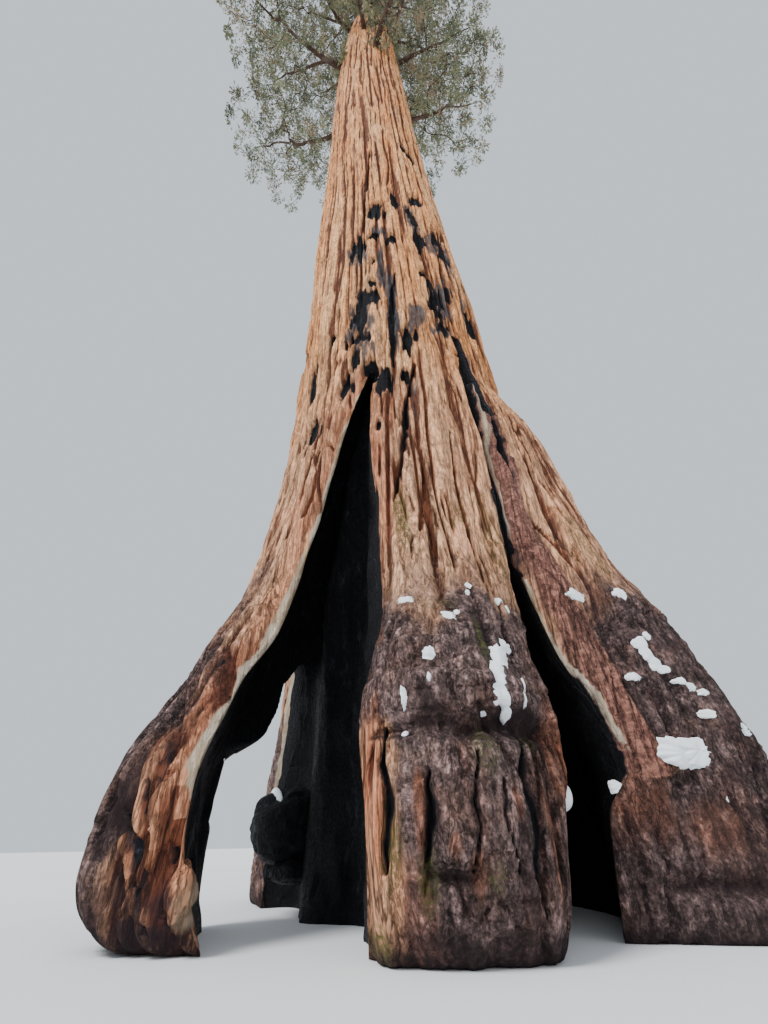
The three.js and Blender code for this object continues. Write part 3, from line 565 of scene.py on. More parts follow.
def trunk_surface(az, h, sizes):
    """Radius out to the bark, height on its ridge from 0 in a furrow to 1 on a crest, and the tone of its strap."""
    girth, place = trunk_radius(az, h), place_on(az, h)
    slim = np.minimum(1, girth / 1.6)
    low = 1 - fade(5.5, 11, h)
    waist, foot, right, back, left = old_legs(az, h)
    ribbed = np.clip((1 - fade(-3.5, 0, az)) * (1 - fade(0.6, 0.95, h)) + fade(9, 13, az) + 0.15, 0, 1)
    lumpy = np.clip(waist + 0.6 * right + 0.6 * back + 0.75 * foot * (1 - ribbed), 0, 1)
    ribbon = strips(az, h, girth, 0.7)

    frayed = 1 + 0.35 * rough(place * (5, 5, 1.6), 12)
    cut, tone = 0, 0
    for share, reach, sway, wide, deep, seed in FURROWS:
        gap, alive, line = furrows(az, h, girth, int(sizes.ridges * share), reach, sway * (0.35 + 0.65 * low), seed)
        cut = np.maximum(cut, (1 - 0.5 * low) * deep * alive * np.exp(-((gap / (wide * slim * frayed)) ** 1.7)))
        tone = tone + 0.5 * rough(np.stack([line * 3.3, line * 1.7, h / reach], -1), seed + 3)
    gap, alive, _ = furrows(az, h, girth, int(sizes.ridges * 5), 1.4, 1.4, 231)
    fine = alive * np.exp(-((gap / (0.02 * slim)) ** 1.6))
    net = np.maximum(network(place, 1.4, 0.16, 0.045, 301), 0.8 * network(place, 3.3, 0.4, 0.034, 311))
    cut = np.maximum(cut, low * net) * (1 - 0.55 * foot)
    fine = np.maximum(fine, low * network(place, 6.5, 1, 0.022, 321))
    ribs = np.maximum(network(place, 4.2, 0.5, 0.036, 331), 0.7 * network(place, 9, 1.3, 0.022, 341))
    grooved = most(foot * ribbed, left, 0.8 * right) * (0.25 + 0.75 * fade(0.05, 0.5, h))
    cut = np.maximum(cut, grooved * ribs) * (1 - 0.9 * ribbon)
    ridge = np.clip(1 - cut - 0.3 * fine + 0.12 * rough(place * (6, 6, 2.5), 13), 0, 1)

    depth = sizes.bark_depth / SCALE * slim
    fibres = (0.3 + 0.7 * low) * noises(place, (0.012, 13, 2.6, 25), (0.008, 27, 7, 26))
    straight = (1 - 0.7 * lumpy) * depth * (1 - 0.15 * low + 0.5 * left - 0.1 * foot) * (0.3 - cut - 0.22 * fine)
    uneven = 0.045 * rough(place * (1.1, 1.1, 0.35), 14) + 0.018 * rough(place * (4, 4, 1.6), 24) * (1 + low)
    radius = girth + (straight + fibres) + slim * uneven

    wander = rough(place * (0.9, 0.9, 0.5), 11)
    flowing = place + (right * 4.5 * np.radians(az))[..., None] * (0, 0, 1)
    wrinkle = 1 - most(
        0.3 * network(flowing, 0.8, 3.4, 0.028, 351), 0.35 * network(flowing, 2.4, 8, 0.018, 361),
        0.8 * network(flowing, 3.4, 1.4, 0.026, 371),
    )
    lumps = noises(flowing + 0.25 * wander[..., None], (0.07, 1.5, 1.7, 17), (0.05, 3.6, 2.6, 18), (0.03, 8, 5.5, 28))
    lumps = lumps + 0.016 * rough(place * (19, 19, 13), 38)
    bulge = 1 + 0.8 * band(45, 100, 6, az) * (1 - fade(1.4, 2.2, h))
    radius = radius + lumpy * (lumps * bulge + 1.5 * sizes.wrinkle_depth / SCALE * (wrinkle - 0.8))
    radius = radius - left * (0.3 * rounding(h, 0.6) + 0.08 * bell(h - 0.7, 0.4))
    radius = radius + ribbon * (0.05 + 0.03 * rough(place * (7, 7, 5), 48))
    flows = 0.035 * rough(place * (2.6, 2.6, 1.2) + wander[..., None], 19)
    flows = flows + 0.03 * rough(place * (6.5, 6.5, 2.2) + wander[..., None], 29)
    knobs = left * (1 - fade(0.6, 1.3, h))
    radius = radius + grooved * (1 - 0.5 * foot) * flows
    radius = radius + knobs * noises(place, (0.06, 1.9, 1.7, 39), (0.035, 5, 3, 49))
    radius = radius + 0.05 * band(-2, 24, 5, az) * bell(h - 1.75, 0.32) - overhangs(az, h)[1]
    ridge = ridge * (1 - 0.85 * lumpy) + 0.85 * lumpy * np.clip(wrinkle + 0.1, 0, 1)

    for hollow in HOLLOWS:
        to_left, to_right, reaches = lips(hollow, az, h, girth)
        for away in (to_left, to_right):
            roll = bell(away - 0.2, 0.11) * 0.04 - bell(np.maximum(away, 0), 0.07) * 0.06
            radius = radius + np.where(reaches & (away > -0.2), roll, 0)
            ridge = np.where(reaches & (np.abs(away) < 0.06), np.maximum(ridge, 0.7), ridge)
    frayed = 1 + 0.7 * rough(place * (3, 3, 1.5), 20)
    for distance, half, sunk, _ in cracks_near(az, h, girth):
        inside = bell(distance, half * frayed)
        radius = radius - sunk * inside
        ridge = ridge * (1 - 0.9 * inside)
    groove_left, groove_right = along(GROOVE["mouth"], h, 1), along(GROOVE["mouth"], h, 2)
    across = np.abs(az - (groove_left + groove_right) / 2) / ((groove_right - groove_left) / 2 + 0.01)
    in_groove = (1 - fade(0.6, 1.15, across)) * band(GROOVE["mouth"][0][0], GROOVE["mouth"][-1][0], 0.15, h)
    radius = radius - 0.45 * GROOVE["depth"] * in_groove - 0.13 * rounding(h, 0.34 + 0.1 * wander)
    radius = radius - 0.1 * patches(BURNS, az, h, girth, 41) - 0.03 * patches(DARK, az, h, girth, 43)
    return radius, ridge, tone


def ball_distance(points, ball, offset=(0, 0, 0)):
    """How far points are from the middle of a rounded lump, where its surface is at 1."""
    return np.linalg.norm((points - np.array(ball["centre"]) - offset) / ball["radii"], axis=1)


def bark_places(points, sizes):
    """What the bark's colour depends on, for points of the finished trunk in living metres."""
    h = np.clip(points[:, 2], 0, TRUNK_TOP)
    x, y = points[:, 0] - along(TRUNK_AXIS, h), points[:, 1]
    az = np.degrees(np.arctan2(x, -y))
    girth = trunk_radius(az, h)
    surface, ridge, tone = trunk_surface(az, h, sizes)
    depth = surface - np.hypot(x, y)
    ragged = 0.6 * rough(points * 5, 51) + 0.35 * rough(points * 13, 52)
    pale = np.zeros(len(points))
    for hollow, side, table in PALE_LIPS:
        to_left, to_right, reaches = lips(hollow, az, h, girth)
        away, other = (to_left, to_right) if side == "left" else (to_right, to_left)
        width, rolled = along(table, h), along(table, h, 2) + 0.006 * ragged
        inside = 1 - fade(width - 0.02, width + 0.02, depth + 0.012 * ragged)
        edge = band(-0.8, 0, 0.02, away) + fade(-0.03, 0, away) * (1 - fade(rolled - 0.01, rolled + 0.015, away))
        ends = band(table[0][0], table[-1][0], 0.06, h)
        pale = np.maximum(pale, inside * np.minimum(edge, 1) * ends * reaches * (away > other))
    beside = np.radians(az - np.interp(h, *zip(*CRACK_RIM))) * girth
    rim = 0.68 * band(0.07, 0.1, 0.014, beside) * band(CRACK_RIM[0][0], CRACK_RIM[-1][0], 0.15, h)
    knob = ball_distance(points, CALLUS, (0.05, 0, -0.03))
    pale = most(pale, rim, 0.47 * (1 - fade(0.7, 1.7, knob + 0.06 * ragged)))

    marks = 0.85 * patches(BURNS, az, h, girth, 41)
    for distance, half, _, burnt in cracks_near(az, h, girth):
        near, far, torn = (1.1, 2, 0.35) if burnt == 1 else (0.6, 1.6, 0.7)
        marks = np.maximum(marks, burnt * (1 - fade(near, far, distance / half + torn * ragged)))
    charred = np.minimum(ball_distance(points, BURL), ball_distance(points, STUB))
    walls = np.maximum(fade(0.05, 0.1, depth + 0.03 * ragged), 1 - fade(1.15, 1.3, charred))

    reddish = strips(az, h, girth, 0.75, 0.3 * ragged)
    to_left, _, reaches = lips(LEFT_HOLLOW, az, h, girth)
    beside_lip = 0.85 * band(-0.02, 0.17 + 0.05 * ragged, 0.025, to_left) * reaches * fade(0.6, 1, h)
    waist, foot, right, back, left = old_legs(az, h)
    aged_left = 0.3 + 0.35 * fade(1.1, 1.7, h) + 0.55 * band(-100, -48, 2.5, az)
    weather = waist + foot + right + 0.8 * back + aged_left * left
    weather = np.clip(weather, 0, 1) * (0.88 + 0.3 * ragged) * (1 - 0.8 * reddish)
    # Painted shade by the ground, under the overhangs and in the dark hollows, and a darker right leg.
    shade_and_dark_bark = most(
        1 - fade(0, 0.28 + 0.3 * left, h + 0.12 * ragged), 0.95 * overhangs(az, h)[0], 0.42 * right * (1 - reddish),
        patches(DARK, az, h, girth, 43),
    )
    return {
        "ridge": ridge, "tone": 0.5 + 0.5 * tone, "pale": pale, "reddish": reddish, "shade_and_dark_bark": shade_and_dark_bark,
        "burn": np.clip(np.maximum(marks, walls) * (1 - pale), 0, 1), "weather": np.clip(weather, 0, 1),
        "fresh": np.maximum(patches(FRESH, az, h, girth, 61, 1), beside_lip),
        "moss": patches(MOSS, az, h, girth, 71, 1), "ash": patches(ASHY, az, h, girth, 45),
    }


# ---------------------------------------------------------------- meshes


def new_mesh(name, points, faces):
    """A mesh from arrays of points (in model metres) and faces that all have as many corners."""
    mesh = bpy.data.meshes.new(name)
    mesh.vertices.add(len(points))
    mesh.vertices.foreach_set("co", np.ascontiguousarray(points, np.float32).ravel())
    corners = faces.shape[1]
    mesh.loops.add(faces.size)
    mesh.loops.foreach_set("vertex_index", np.ascontiguousarray(faces, np.int32).ravel())
    mesh.polygons.add(len(faces))
    mesh.polygons.foreach_set("loop_start", np.arange(0, faces.size, corners, dtype=np.int32))
    mesh.update(calc_edges=True)
    return mesh


def new_piece(name, mesh, material=None):
    """An object at the origin for a mesh, in place of any older piece of that name."""
    old = bpy.data.objects.get(name)
    if old is not None:
        bpy.data.objects.remove(old)
    piece = bpy.data.objects.new(name, mesh)
    bpy.context.scene.collection.objects.link(piece)
    if material is not None:
        mesh.materials.clear()
        mesh.materials.append(material)
    return piece


def smooth(mesh):
    mesh.polygons.foreach_set("use_smooth", np.ones(len(mesh.polygons), bool))


def put(mesh, name, values, kind="FLOAT", field="value"):
    """A number or direction for each point of a mesh, for its material or its node tree to read."""
    data = mesh.attributes.new(name, kind, "POINT").data
    data.foreach_set(field, np.ascontiguousarray(values, np.float32).ravel())


def hand_over(piece, nodes):
    """The piece moves with the tree and stands for these solids, which are hidden."""
    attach(piece, "root")
    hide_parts(*nodes)


def outwards(mesh):
    """Turns a closed mesh's faces outwards."""
    work = bmesh.new()
    work.from_mesh(mesh)
    bmesh.ops.recalc_face_normals(work, faces=work.faces)
    work.to_mesh(mesh)
    work.free()


def baked(obj):
    """The mesh of an object with its modifiers carried out; the modifiers are then removed."""
    evaluated = bpy.data.meshes.new_from_object(obj.evaluated_get(bpy.context.evaluated_depsgraph_get()))
    obj.modifiers.clear()
    return evaluated


def face_array(mesh):
    """Corner numbers of a mesh's triangles."""
    mesh.calc_loop_triangles()
    faces = np.empty(len(mesh.loop_triangles) * 3, np.int32)
    mesh.loop_triangles.foreach_get("vertices", faces)
    return faces.reshape(-1, 3)


def point_array(vectors, field):
    """One row of three numbers for each vertex or normal."""
    points = np.empty(len(vectors) * 3, np.float32)
    vectors.foreach_get(field, points)
    return points.reshape(-1, 3).astype(float)


def grid_faces(rows, columns):
    """Four-cornered faces of a tube of points, rows upwards, columns round it."""
    r, c = np.meshgrid(np.arange(rows - 1), np.arange(columns), indexing="ij")
    d = (c + 1) % columns
    corners = [r * columns + c, r * columns + d, (r + 1) * columns + d, (r + 1) * columns + c]
    return np.stack(corners, -1).reshape(-1, 4)


def disc_grid(steps, around, start=0, end=1):
    """For rows of points: how far each row is from start to end, and each point's angle round a full turn."""
    turn = np.linspace(0, 2 * math.pi, around, endpoint=False)
    return np.meshgrid(np.linspace(start, end, steps), turn, indexing="ij")


def ball_grid(rows, columns, hole):
    """Points of a ball of radius 1 as rings upwards, with a hole this many radians wide left at each pole."""
    lift, turn = disc_grid(rows, columns, hole, math.pi - hole)
    return np.stack([np.sin(lift) * np.cos(turn), np.sin(lift) * np.sin(turn), -np.cos(lift)], -1)


def capped_solid(name, rings):
    """A closed solid from rings of points upwards, with one flat face over each end."""
    rows, columns = rings.shape[:2]
    ends = np.arange(columns)
    caps = [ends[::-1].tolist(), ((rows - 1) * columns + ends).tolist()]
    mesh = bpy.data.meshes.new(name)
    mesh.from_pydata(rings.reshape(-1, 3).tolist(), [], grid_faces(rows, columns).tolist() + caps)
    outwards(mesh)
    return new_piece(name, mesh)


def pointed(rings, tip):
    """The points and triangles of rings upwards that close to a tip."""
    rows, columns = rings.shape[:2]
    last = (rows - 1) * columns + np.arange(columns)
    cap = np.stack([last, np.roll(last, -1), np.full(columns, rows * columns)], -1)
    quads = grid_faces(rows, columns)
    faces = np.concatenate([quads[:, [0, 1, 2]], quads[:, [0, 2, 3]], cap])
    return np.concatenate([rings.reshape(-1, 3), [tip]]), faces


def joined(parts):
    """The points and faces of several parts as one."""
    starts = np.cumsum([0] + [len(points) for points, _ in parts])
    faces = [part + start for (_, part), start in zip(parts, starts)]
    return np.concatenate([points for points, _ in parts]), np.concatenate(faces)


def trunk_angles(columns):
    """Angles round the trunk, closer together at the front, where the camera stands near."""
    t = np.linspace(-np.pi, np.pi, columns, endpoint=False)
    return np.degrees(t - 0.42 * np.sin(t))


def trunk_points(levels, angles, sizes):
    """Points of the bark at each level and angle, in model metres."""
    az, h = np.meshgrid(angles, levels)
    return on_axis(az, h, trunk_surface(az, h, sizes)[0]) * SCALE


def lip_point(az, h):
    """Where a hollow's wall ends, just inside the bark."""
    return LIP * float(trunk_radius(az, h)) * np.array(heading(az))


def hollow_wall(hollow, left, right, h, top):
    """The way round a hollow's wall at one height, evenly spaced and rounded: points, distance run and whole run."""
    shrink = 0.9 * (max(0.0, h) / top) ** hollow["closing"]
    middle = (left + right) / 2
    hub = 0.8 * float(trunk_radius(middle, h)) * np.array(heading(middle))
    inside = [np.array(p) + (hub - p) * shrink for p in hollow["floor"]]
    way = np.array([lip_point(right, h), *inside, lip_point(left, h)])
    run = np.concatenate([[0], np.cumsum(np.hypot(*np.diff(way, axis=0).T))])
    s = np.linspace(0, run[-1], WALL_POINTS)
    wall = np.stack([np.interp(s, run, way[:, 0]), np.interp(s, run, way[:, 1])], -1)
    for _ in range(10):
        wall[1:-1] = 0.5 * wall[1:-1] + 0.25 * (wall[:-2] + wall[2:])
    return wall, s, run[-1]


def away_from(wall):
    """The level direction out of a hollow's air and into the wood, at each point of its wall."""
    ahead = np.gradient(wall, axis=0)
    ahead /= np.hypot(*ahead.T)[:, None] + 1e-9
    out = np.stack([ahead[:, 1], -ahead[:, 0]], -1)
    area = np.sum(wall[:, 0] * np.roll(wall[:, 1], -1) - wall[:, 1] * np.roll(wall[:, 0], -1))
    return -out if area < 0 else out


def pierced(wall, reach, shell, h, place):
    """How much nearer or further each point of the left hollow's wall lies, so that it opens through the rear."""
    slant = TUNNEL_ROOF["across"] * (wall[:, 0] + float(along(TRUNK_AXIS, h)))
    slant = slant + TUNNEL_ROOF["back"] * wall[:, 1] + TUNNEL_ROOF["up"] * h
    solid = np.minimum(1, (reach + shell - THIN_SHELL) / reach)
    opened = np.where(shell < THIN_SHELL, (reach + shell + 0.2) / reach, 1)
    return lerp(solid, opened, fade(-0.07, 0.07, slant + 0.04 * rough(place * 3, 86) - TUNNEL_ROOF["limit"]))


def hollow_cutter(hollow, name, sizes):
    """A solid as big as a burnt hollow, with walls as rough as charred wood."""
    top = hollow["mouth"][-1][0]
    tall = top - BELOW_GROUND
    rings = []
    for h in np.arange(BELOW_GROUND, top + 0.001, tall / round(tall / 0.042)):
        left, right = float(along(hollow["mouth"], h, 1)), float(along(hollow["mouth"], h, 2))
        left += 0.35 * float(rough(np.array([h * 1.9, 4.1, 0.3]), 81))
        right += 0.45 * float(rough(np.array([h * 2.3, 9.1, 0.3]), 82))
        wall, s, run = hollow_wall(hollow, left, right, h, top)
        out = away_from(wall)
        place = np.concatenate([wall, np.full((WALL_POINTS, 1), h)], 1)
        bumps = 0.5 + 0.55 * rough(place * (1.7, 1.7, 0.9), 84) + 0.4 * rough(place * (4.6, 4.6, 2.2), 85)
        bumps = bumps - 0.4 * np.abs(rough(place * (9, 9, 4), 83))
        reach = np.hypot(*wall.T)
        facing = np.degrees(np.arctan2(wall[:, 0], -wall[:, 1]))
        shell = trunk_radius(facing, h * np.ones(WALL_POINTS)) - reach
        hold = fade(0, 0.5, s) * fade(0, 0.5, run - s) * fade(0.2, 0.5, shell)
        wall = wall + out * (sizes.char_depth / SCALE * bumps * hold)[:, None]
        if hollow is LEFT_HOLLOW:
            change = pierced(wall, reach, shell, h, place)
            wall = wall * lerp(1, change, (facing < -55) * fade(0.8, 1.3, h))[:, None]
        far = [OUTSIDE * np.array(heading(left)), OUTSIDE * np.array(heading(right))]
        ring = np.concatenate([wall, far]) + (float(along(TRUNK_AXIS, h)), 0)
        rings.append(np.concatenate([ring, np.full((len(ring), 1), h)], 1))
    return capped_solid(name, np.array(rings) * SCALE)


def swollen(unit, seed):
    """How far each point of a rounded lump stands out."""
    return 1 + 0.15 * rough(unit * 1.6, seed) + 0.09 * rough(unit * 4, seed + 1)


def charred_lump(name, ball, seed):
    unit = ball_grid(48, 72, 0.001)
    swell = swollen(unit, seed) - 0.04 * np.abs(rough(unit * 9, seed + 2))
    return capped_solid(name, (np.array(ball["centre"]) + unit * swell[..., None] * ball["radii"]) * SCALE)


def combine(base, tool, operation):
    """Cuts or joins two closed solids, and removes the tool."""
    modifier = base.modifiers.new("combine", "BOOLEAN")
    modifier.operation = operation
    modifier.solver = "MANIFOLD"
    modifier.object = tool
    base.data = baked(base)
    bpy.data.objects.remove(tool)
    if len(base.data.vertices) < 1000:
        raise RuntimeError(f"the trunk was lost when {operation} was carried out")


def bark_pieces(prefix, points, faces, material, sizes):
    """Bark with its colours, as pieces of under 200,000 triangles that meet without a seam."""
    whole = new_mesh(prefix, points, faces)
    normals = point_array(whole.vertex_normals, "vector")
    bpy.data.meshes.remove(whole)
    places = bark_places(points / SCALE, sizes)
    corners = faces.shape[1]
    order = np.argsort(points[faces].mean(1)[:, 2], kind="stable")
    parts = math.ceil(len(faces) * (corners - 2) / PIECE_TRIANGLES)
    for i, chosen in enumerate(np.array_split(order, parts)):
        name = f"{prefix}_{i + 1}"
        used, numbers = np.unique(faces[chosen], return_inverse=True)
        mesh = new_mesh(name, points[used], numbers.reshape(-1, corners))
        for key, values in places.items():
            put(mesh, key, values[used])
        smooth(mesh)
        mesh.normals_split_custom_set_from_vertices(normals[used])
        hand_over(new_piece(name, mesh, material), ["trunk"])


# ---------------------------------------------------------------- finishes


class Nodes:
    """A node tree and short ways to add to it."""

    def __init__(self, tree):
        self.tree = tree

    def feed(self, value, socket):
        """Links a socket to another, or sets a plain value on it."""
        if isinstance(value, bpy.types.NodeSocket):
            self.tree.links.new(value, socket)
        elif socket.type == "RGBA":
            socket.default_value = (*value[:3], 1)
        else:
            socket.default_value = value

    def add(self, kind, inputs, output=0, **settings):
        """A new node with its settings and inputs; gives back one of its outputs."""
        node = self.tree.nodes.new(kind)
        for name, value in settings.items():
            setattr(node, name, value)
        for key, value in inputs.items():
            self.feed(value, node.inputs[key])
        return node.outputs[output]

    def math(self, operation, *values):
        return self.add("ShaderNodeMath", dict(enumerate(values)), operation=operation)

    def plus(self, a, b):
        return self.math("ADD", a, b)

    def minus(self, a, b):
        return self.math("SUBTRACT", a, b)

    def times(self, a, b):
        return self.math("MULTIPLY", a, b)


class Finish(Nodes):
    """A material and short ways to add its nodes."""

    def __init__(self, name):
        old = bpy.data.materials.get(name)
        if old is not None:
            bpy.data.materials.remove(old)
        self.material = bpy.data.materials.new(name)
        self.material.use_nodes = True
        super().__init__(self.material.node_tree)
        self.shader = self.tree.nodes["Principled BSDF"]
        self.place = self.add("ShaderNodeTexCoord", {}, "Object")

    def number(self, name):
        """A value that the mesh carries on its points."""
        return self.add("ShaderNodeAttribute", {}, "Fac", attribute_name=name)

    def stretched(self, across, up):
        """Places scaled by one factor across and another upwards."""
        return self.add("ShaderNodeMapping", {"Vector": self.place, "Scale": (across, across, up)})

    def noise(self, place, scale, detail=4, roughness=0.55, warp=0):
        """A cloudy pattern round 0.5."""
        inputs = {"Vector": place, "Scale": scale, "Detail": detail, "Roughness": roughness, "Distortion": warp}
        return self.add("ShaderNodeTexNoise", inputs, "Fac")

    def split(self, place, scale, half, detail=5, warp=0.3):
        """0 in thin cracks that run where a pattern crosses its middle, 1 beside them."""
        level = self.minus(self.noise(place, scale, detail, 0.6, warp), 0.5)
        return self.range(self.math("ABSOLUTE", level), 0, half)

    def range(self, value, low, high, to_low=0.0, to_high=1.0):
        """A value brought from one range to another, smooth at both ends."""
        inputs = {"Value": value, "From Min": low, "From Max": high, "To Min": to_low, "To Max": to_high}
        return self.add("ShaderNodeMapRange", inputs, "Result", interpolation_type="SMOOTHSTEP")

    def sway(self, pattern, amount):
        """A pattern round 0.5 as a number round 0."""
        return self.times(self.minus(pattern, 0.5), amount)

    def mix(self, share, a, b):
        """From a to b by a share."""
        return self.add("ShaderNodeMix", {0: share, 6: a, 7: b}, 2, data_type="RGBA")

    def shade(self, base, value):
        """The colour multiplied by a number."""
        return self.add("ShaderNodeHueSaturation", {"Value": value, "Color": base}, "Color")

    def tint(self, base, pattern, amount):
        """The colour made lighter or darker by a pattern."""
        return self.shade(base, self.range(pattern, 0.25, 0.75, 1 - amount, 1 + amount))

    def bump(self, height, strength, distance):
        inputs = {"Strength": strength, "Distance": distance, "Height": height}
        self.feed(self.add("ShaderNodeBump", inputs, "Normal"), self.shader.inputs["Normal"])

    def paint(self, base, roughness, specular):
        """The surface's colour, its roughness and how much it mirrors, which is the same all over."""
        self.feed(base, self.shader.inputs["Base Color"])
        self.feed(roughness, self.shader.inputs["Roughness"])
        self.shader.inputs["Specular IOR Level"].default_value = specular


def bark_finish(colours):
    """Bark of the trunk: orange ridges, old purple-grey legs, pale lips, moss, char where the fire was, and painted
    shade in its furrows, cracks, hollows and under overhangs.
    """
    f = Finish("redwood bark")
    height = f.add("ShaderNodeSeparateXYZ", {0: f.place}, "Z")
    ridged, shade_and_dark_bark, moss, ash, burnt = (f.number(name) for name in ("ridge", "shade_and_dark_bark", "moss", "ash", "burn"))
    reddish = f.number("reddish")
    fibres = f.noise(f.stretched(1, 0.07), 32, 7, 0.68, 0.4)
    flakes = f.noise(f.stretched(1, 0.4), 42, 6, 0.72)
    areas = f.noise(f.place, 0.9, 4)
    grain = f.noise(f.place, 60, 4, 0.65)
    blotch = f.noise(f.stretched(1, 0.45), 6, 5, 0.7)
    splits = f.split(f.stretched(1, 0.07), 9, 0.045, 7)
    splits = f.math("MAXIMUM", splits, f.times(f.range(height, 4, 8), 0.6))
    checks = f.split(f.stretched(1, 0.15), 26, 0.06, 6)
    folds = f.split(f.stretched(0.7, 2), 11, 0.05, 6, 0.8)
    creases = f.split(f.stretched(1, 0.28), 20, 0.05, 7, 0.5)
    creases = f.math("MAXIMUM", creases, f.range(f.noise(f.place, 2.4, 3), 0.45, 0.6, 0, 0.7))
    pits = f.range(f.noise(f.stretched(1, 0.75), 17, 7, 0.78, 0.3), 0.36, 0.6)

    # Sound bark: straps of several tones, redder near the ground, dark in the furrows, partly from the bark's own
    # colour and partly as painted shade.
    ridge = f.plus(ridged, f.sway(fibres, 1.1))
    tone = f.plus(f.number("tone"), f.sway(areas, 1.2))
    crest = f.mix(f.range(tone, 0.15, 0.95), colours.ridge, colours.pale_bark)
    crest = f.mix(f.range(height, 2.5, 5, 0.7, 0), crest, colours.low_bark)
    crest = f.mix(f.range(blotch, 0.5, 0.72, 0, 0.7), crest, colours.red_bark)
    bark = f.mix(f.range(ridge, 0.35, 0.85), colours.furrow, crest)
    bark = f.tint(f.tint(bark, flakes, 0.42), fibres, 0.3)

    # Old bark of the legs, and the fresh and reddish places, each near black in its furrows, partly as painted shade.
    old_ridge = f.plus(ridged, f.sway(grain, 1.3))
    old = f.mix(f.range(old_ridge, 0.3, 1), colours.old_furrow, colours.weathered)
    old = f.mix(f.range(f.noise(f.place, 3.4, 5, 0.65), 0.46, 0.62, 0, 0.7), old, colours.old_rust)
    old = f.mix(f.range(blotch, 0.54, 0.68, 0, 0.7), old, colours.old_stain)
    old = f.tint(f.tint(old, flakes, 0.7), grain, 0.5)
    aged = f.range(f.plus(f.number("weather"), f.sway(blotch, 0.6)), 0.18, 0.78, 0, 0.96)
    bark = f.mix(aged, bark, old)
    fresh = f.tint(f.mix(f.range(ridge, 0.3, 0.8), colours.fresh_furrow, colours.fresh), flakes, 0.25)
    bark = f.mix(f.times(f.number("fresh"), f.range(blotch, 0.35, 0.6, 0.95, 0.55)), bark, fresh)
    scales = f.range(f.noise(f.stretched(1, 1.5), 22, 6, 0.75, 0.6), 0.4, 0.64)
    red = f.mix(scales, colours.strip_dark, colours.strip_bright)
    red = f.mix(f.range(ridge, 0.3, 0.85), colours.strip_furrow, red)
    bark = f.mix(f.times(reddish, 0.9), bark, red)

    # Painted shade in cracks, checks, pits and folds, deepest low on the trunk; then painted shade by the ground, under
    # overhangs and in the dark hollows, a darker right leg, and moss.
    deepest_shade = f.range(height, 1, 3, 0.37, 0.7)
    crack_shade = f.times(f.range(splits, 0, 1, deepest_shade, 1.08), f.range(checks, 0, 1, f.plus(deepest_shade, 0.1), 1.08))
    pit_shade = f.times(f.range(pits, 0, 1, 0.36, 1.28), f.range(creases, 0, 1, 0.3, 1.05))
    crack_shade = f.mix(f.times(aged, 0.85), crack_shade, pit_shade)
    crack_shade = f.times(crack_shade, f.minus(1, f.times(reddish, f.range(creases, 0, 1, 0.35, 0))))
    crack_shade = f.times(crack_shade, f.minus(1.02, f.times(aged, f.range(folds, 0, 1, 0.14, 0))))
    bark = f.shade(bark, crack_shade)
    bark = f.mix(f.times(shade_and_dark_bark, f.range(blotch, 0.35, 0.6, 0.82, 1)), bark, colours.shade_and_dark_bark)
    bark = f.mix(f.times(moss, f.range(grain, 0.42, 0.56)), bark, colours.moss)

    # Pale new wood.
    wood = f.mix(f.range(blotch, 0.4, 0.65), colours.pale_wood, colours.wood_grain)
    pale = f.plus(f.number("pale"), f.sway(flakes, 0.08))
    bark = f.mix(f.range(pale, 0.25, 0.7), bark, f.tint(wood, fibres, 0.16))

    # Ash, smears and char, torn along the fibres; the char is flecked with the ash colour, partly grey ash and partly a
    # painted blue-grey sheen.
    dusty = f.range(f.plus(ash, f.sway(fibres, 2.4)), 0.38, 0.66, 0, 0.88)
    dust = f.mix(f.range(blotch, 0.4, 0.6), colours.dust_dark, colours.dust_bright)
    bark = f.mix(f.times(dusty, f.range(ash, 0.03, 0.15)), bark, f.tint(dust, flakes, 0.3))
    smear = f.times(f.range(burnt, 0, 0.3), f.range(fibres, 0.4, 0.62, 0, 0.65))
    bark = f.mix(smear, bark, colours.smear)
    torn = f.plus(f.plus(f.sway(blotch, 0.5), f.sway(fibres, 0.7)), f.times(f.minus(0.7, ridged), 0.4))
    burn = f.times(f.range(f.plus(burnt, torn), 0.35, 0.6), f.range(burnt, 0.1, 0.26))
    char_ash_and_sheen = f.mix(f.range(f.noise(f.stretched(1, 0.5), 9, 6, 0.72), 0.55, 0.8), colours.char, colours.ash)
    shine = f.times(f.range(burnt, 0.87, 1), f.range(grain, 0.35, 0.7, 0.25, 0.55))
    f.paint(f.mix(burn, bark, char_ash_and_sheen), f.minus(f.range(burn, 0, 1, 0.9, 0.98), shine), 0.22)

    cells = f.add(
        "ShaderNodeTexVoronoi", {"Vector": f.stretched(1, 0.55), "Scale": 13}, "Distance", feature="DISTANCE_TO_EDGE"
    )
    cracked = f.times(f.range(cells, 0, 0.1), burn)
    relief = f.plus(f.times(fibres, 0.9), f.times(flakes, 0.7))
    relief = f.plus(relief, f.plus(f.times(splits, 0.45), f.times(checks, 0.25)))
    relief = f.times(relief, f.minus(1, f.times(aged, 0.7)))
    relief = f.plus(relief, f.times(aged, f.plus(f.times(creases, 0.5), f.times(pits, 0.8))))
    f.bump(f.plus(relief, f.times(cracked, 0.6)), 1, 0.026)
    return f.material


def limb_finish(colours):
    """Scaly brown bark of the boughs and twigs."""
    f = Finish("limb bark")
    flakes = f.noise(f.place, 9, 5, 0.65)
    base = f.mix(f.range(flakes, 0.35, 0.65), colours.limb_furrow, colours.limb)
    base = f.mix(f.range(f.noise(f.place, 1.3, 3), 0.5, 0.7, 0, 0.6), base, colours.limb_pale)
    f.paint(base, f.range(flakes, 0.3, 0.7, 0.95, 0.75), 0.25)
    f.bump(flakes, 0.7, 0.02)
    return f.material


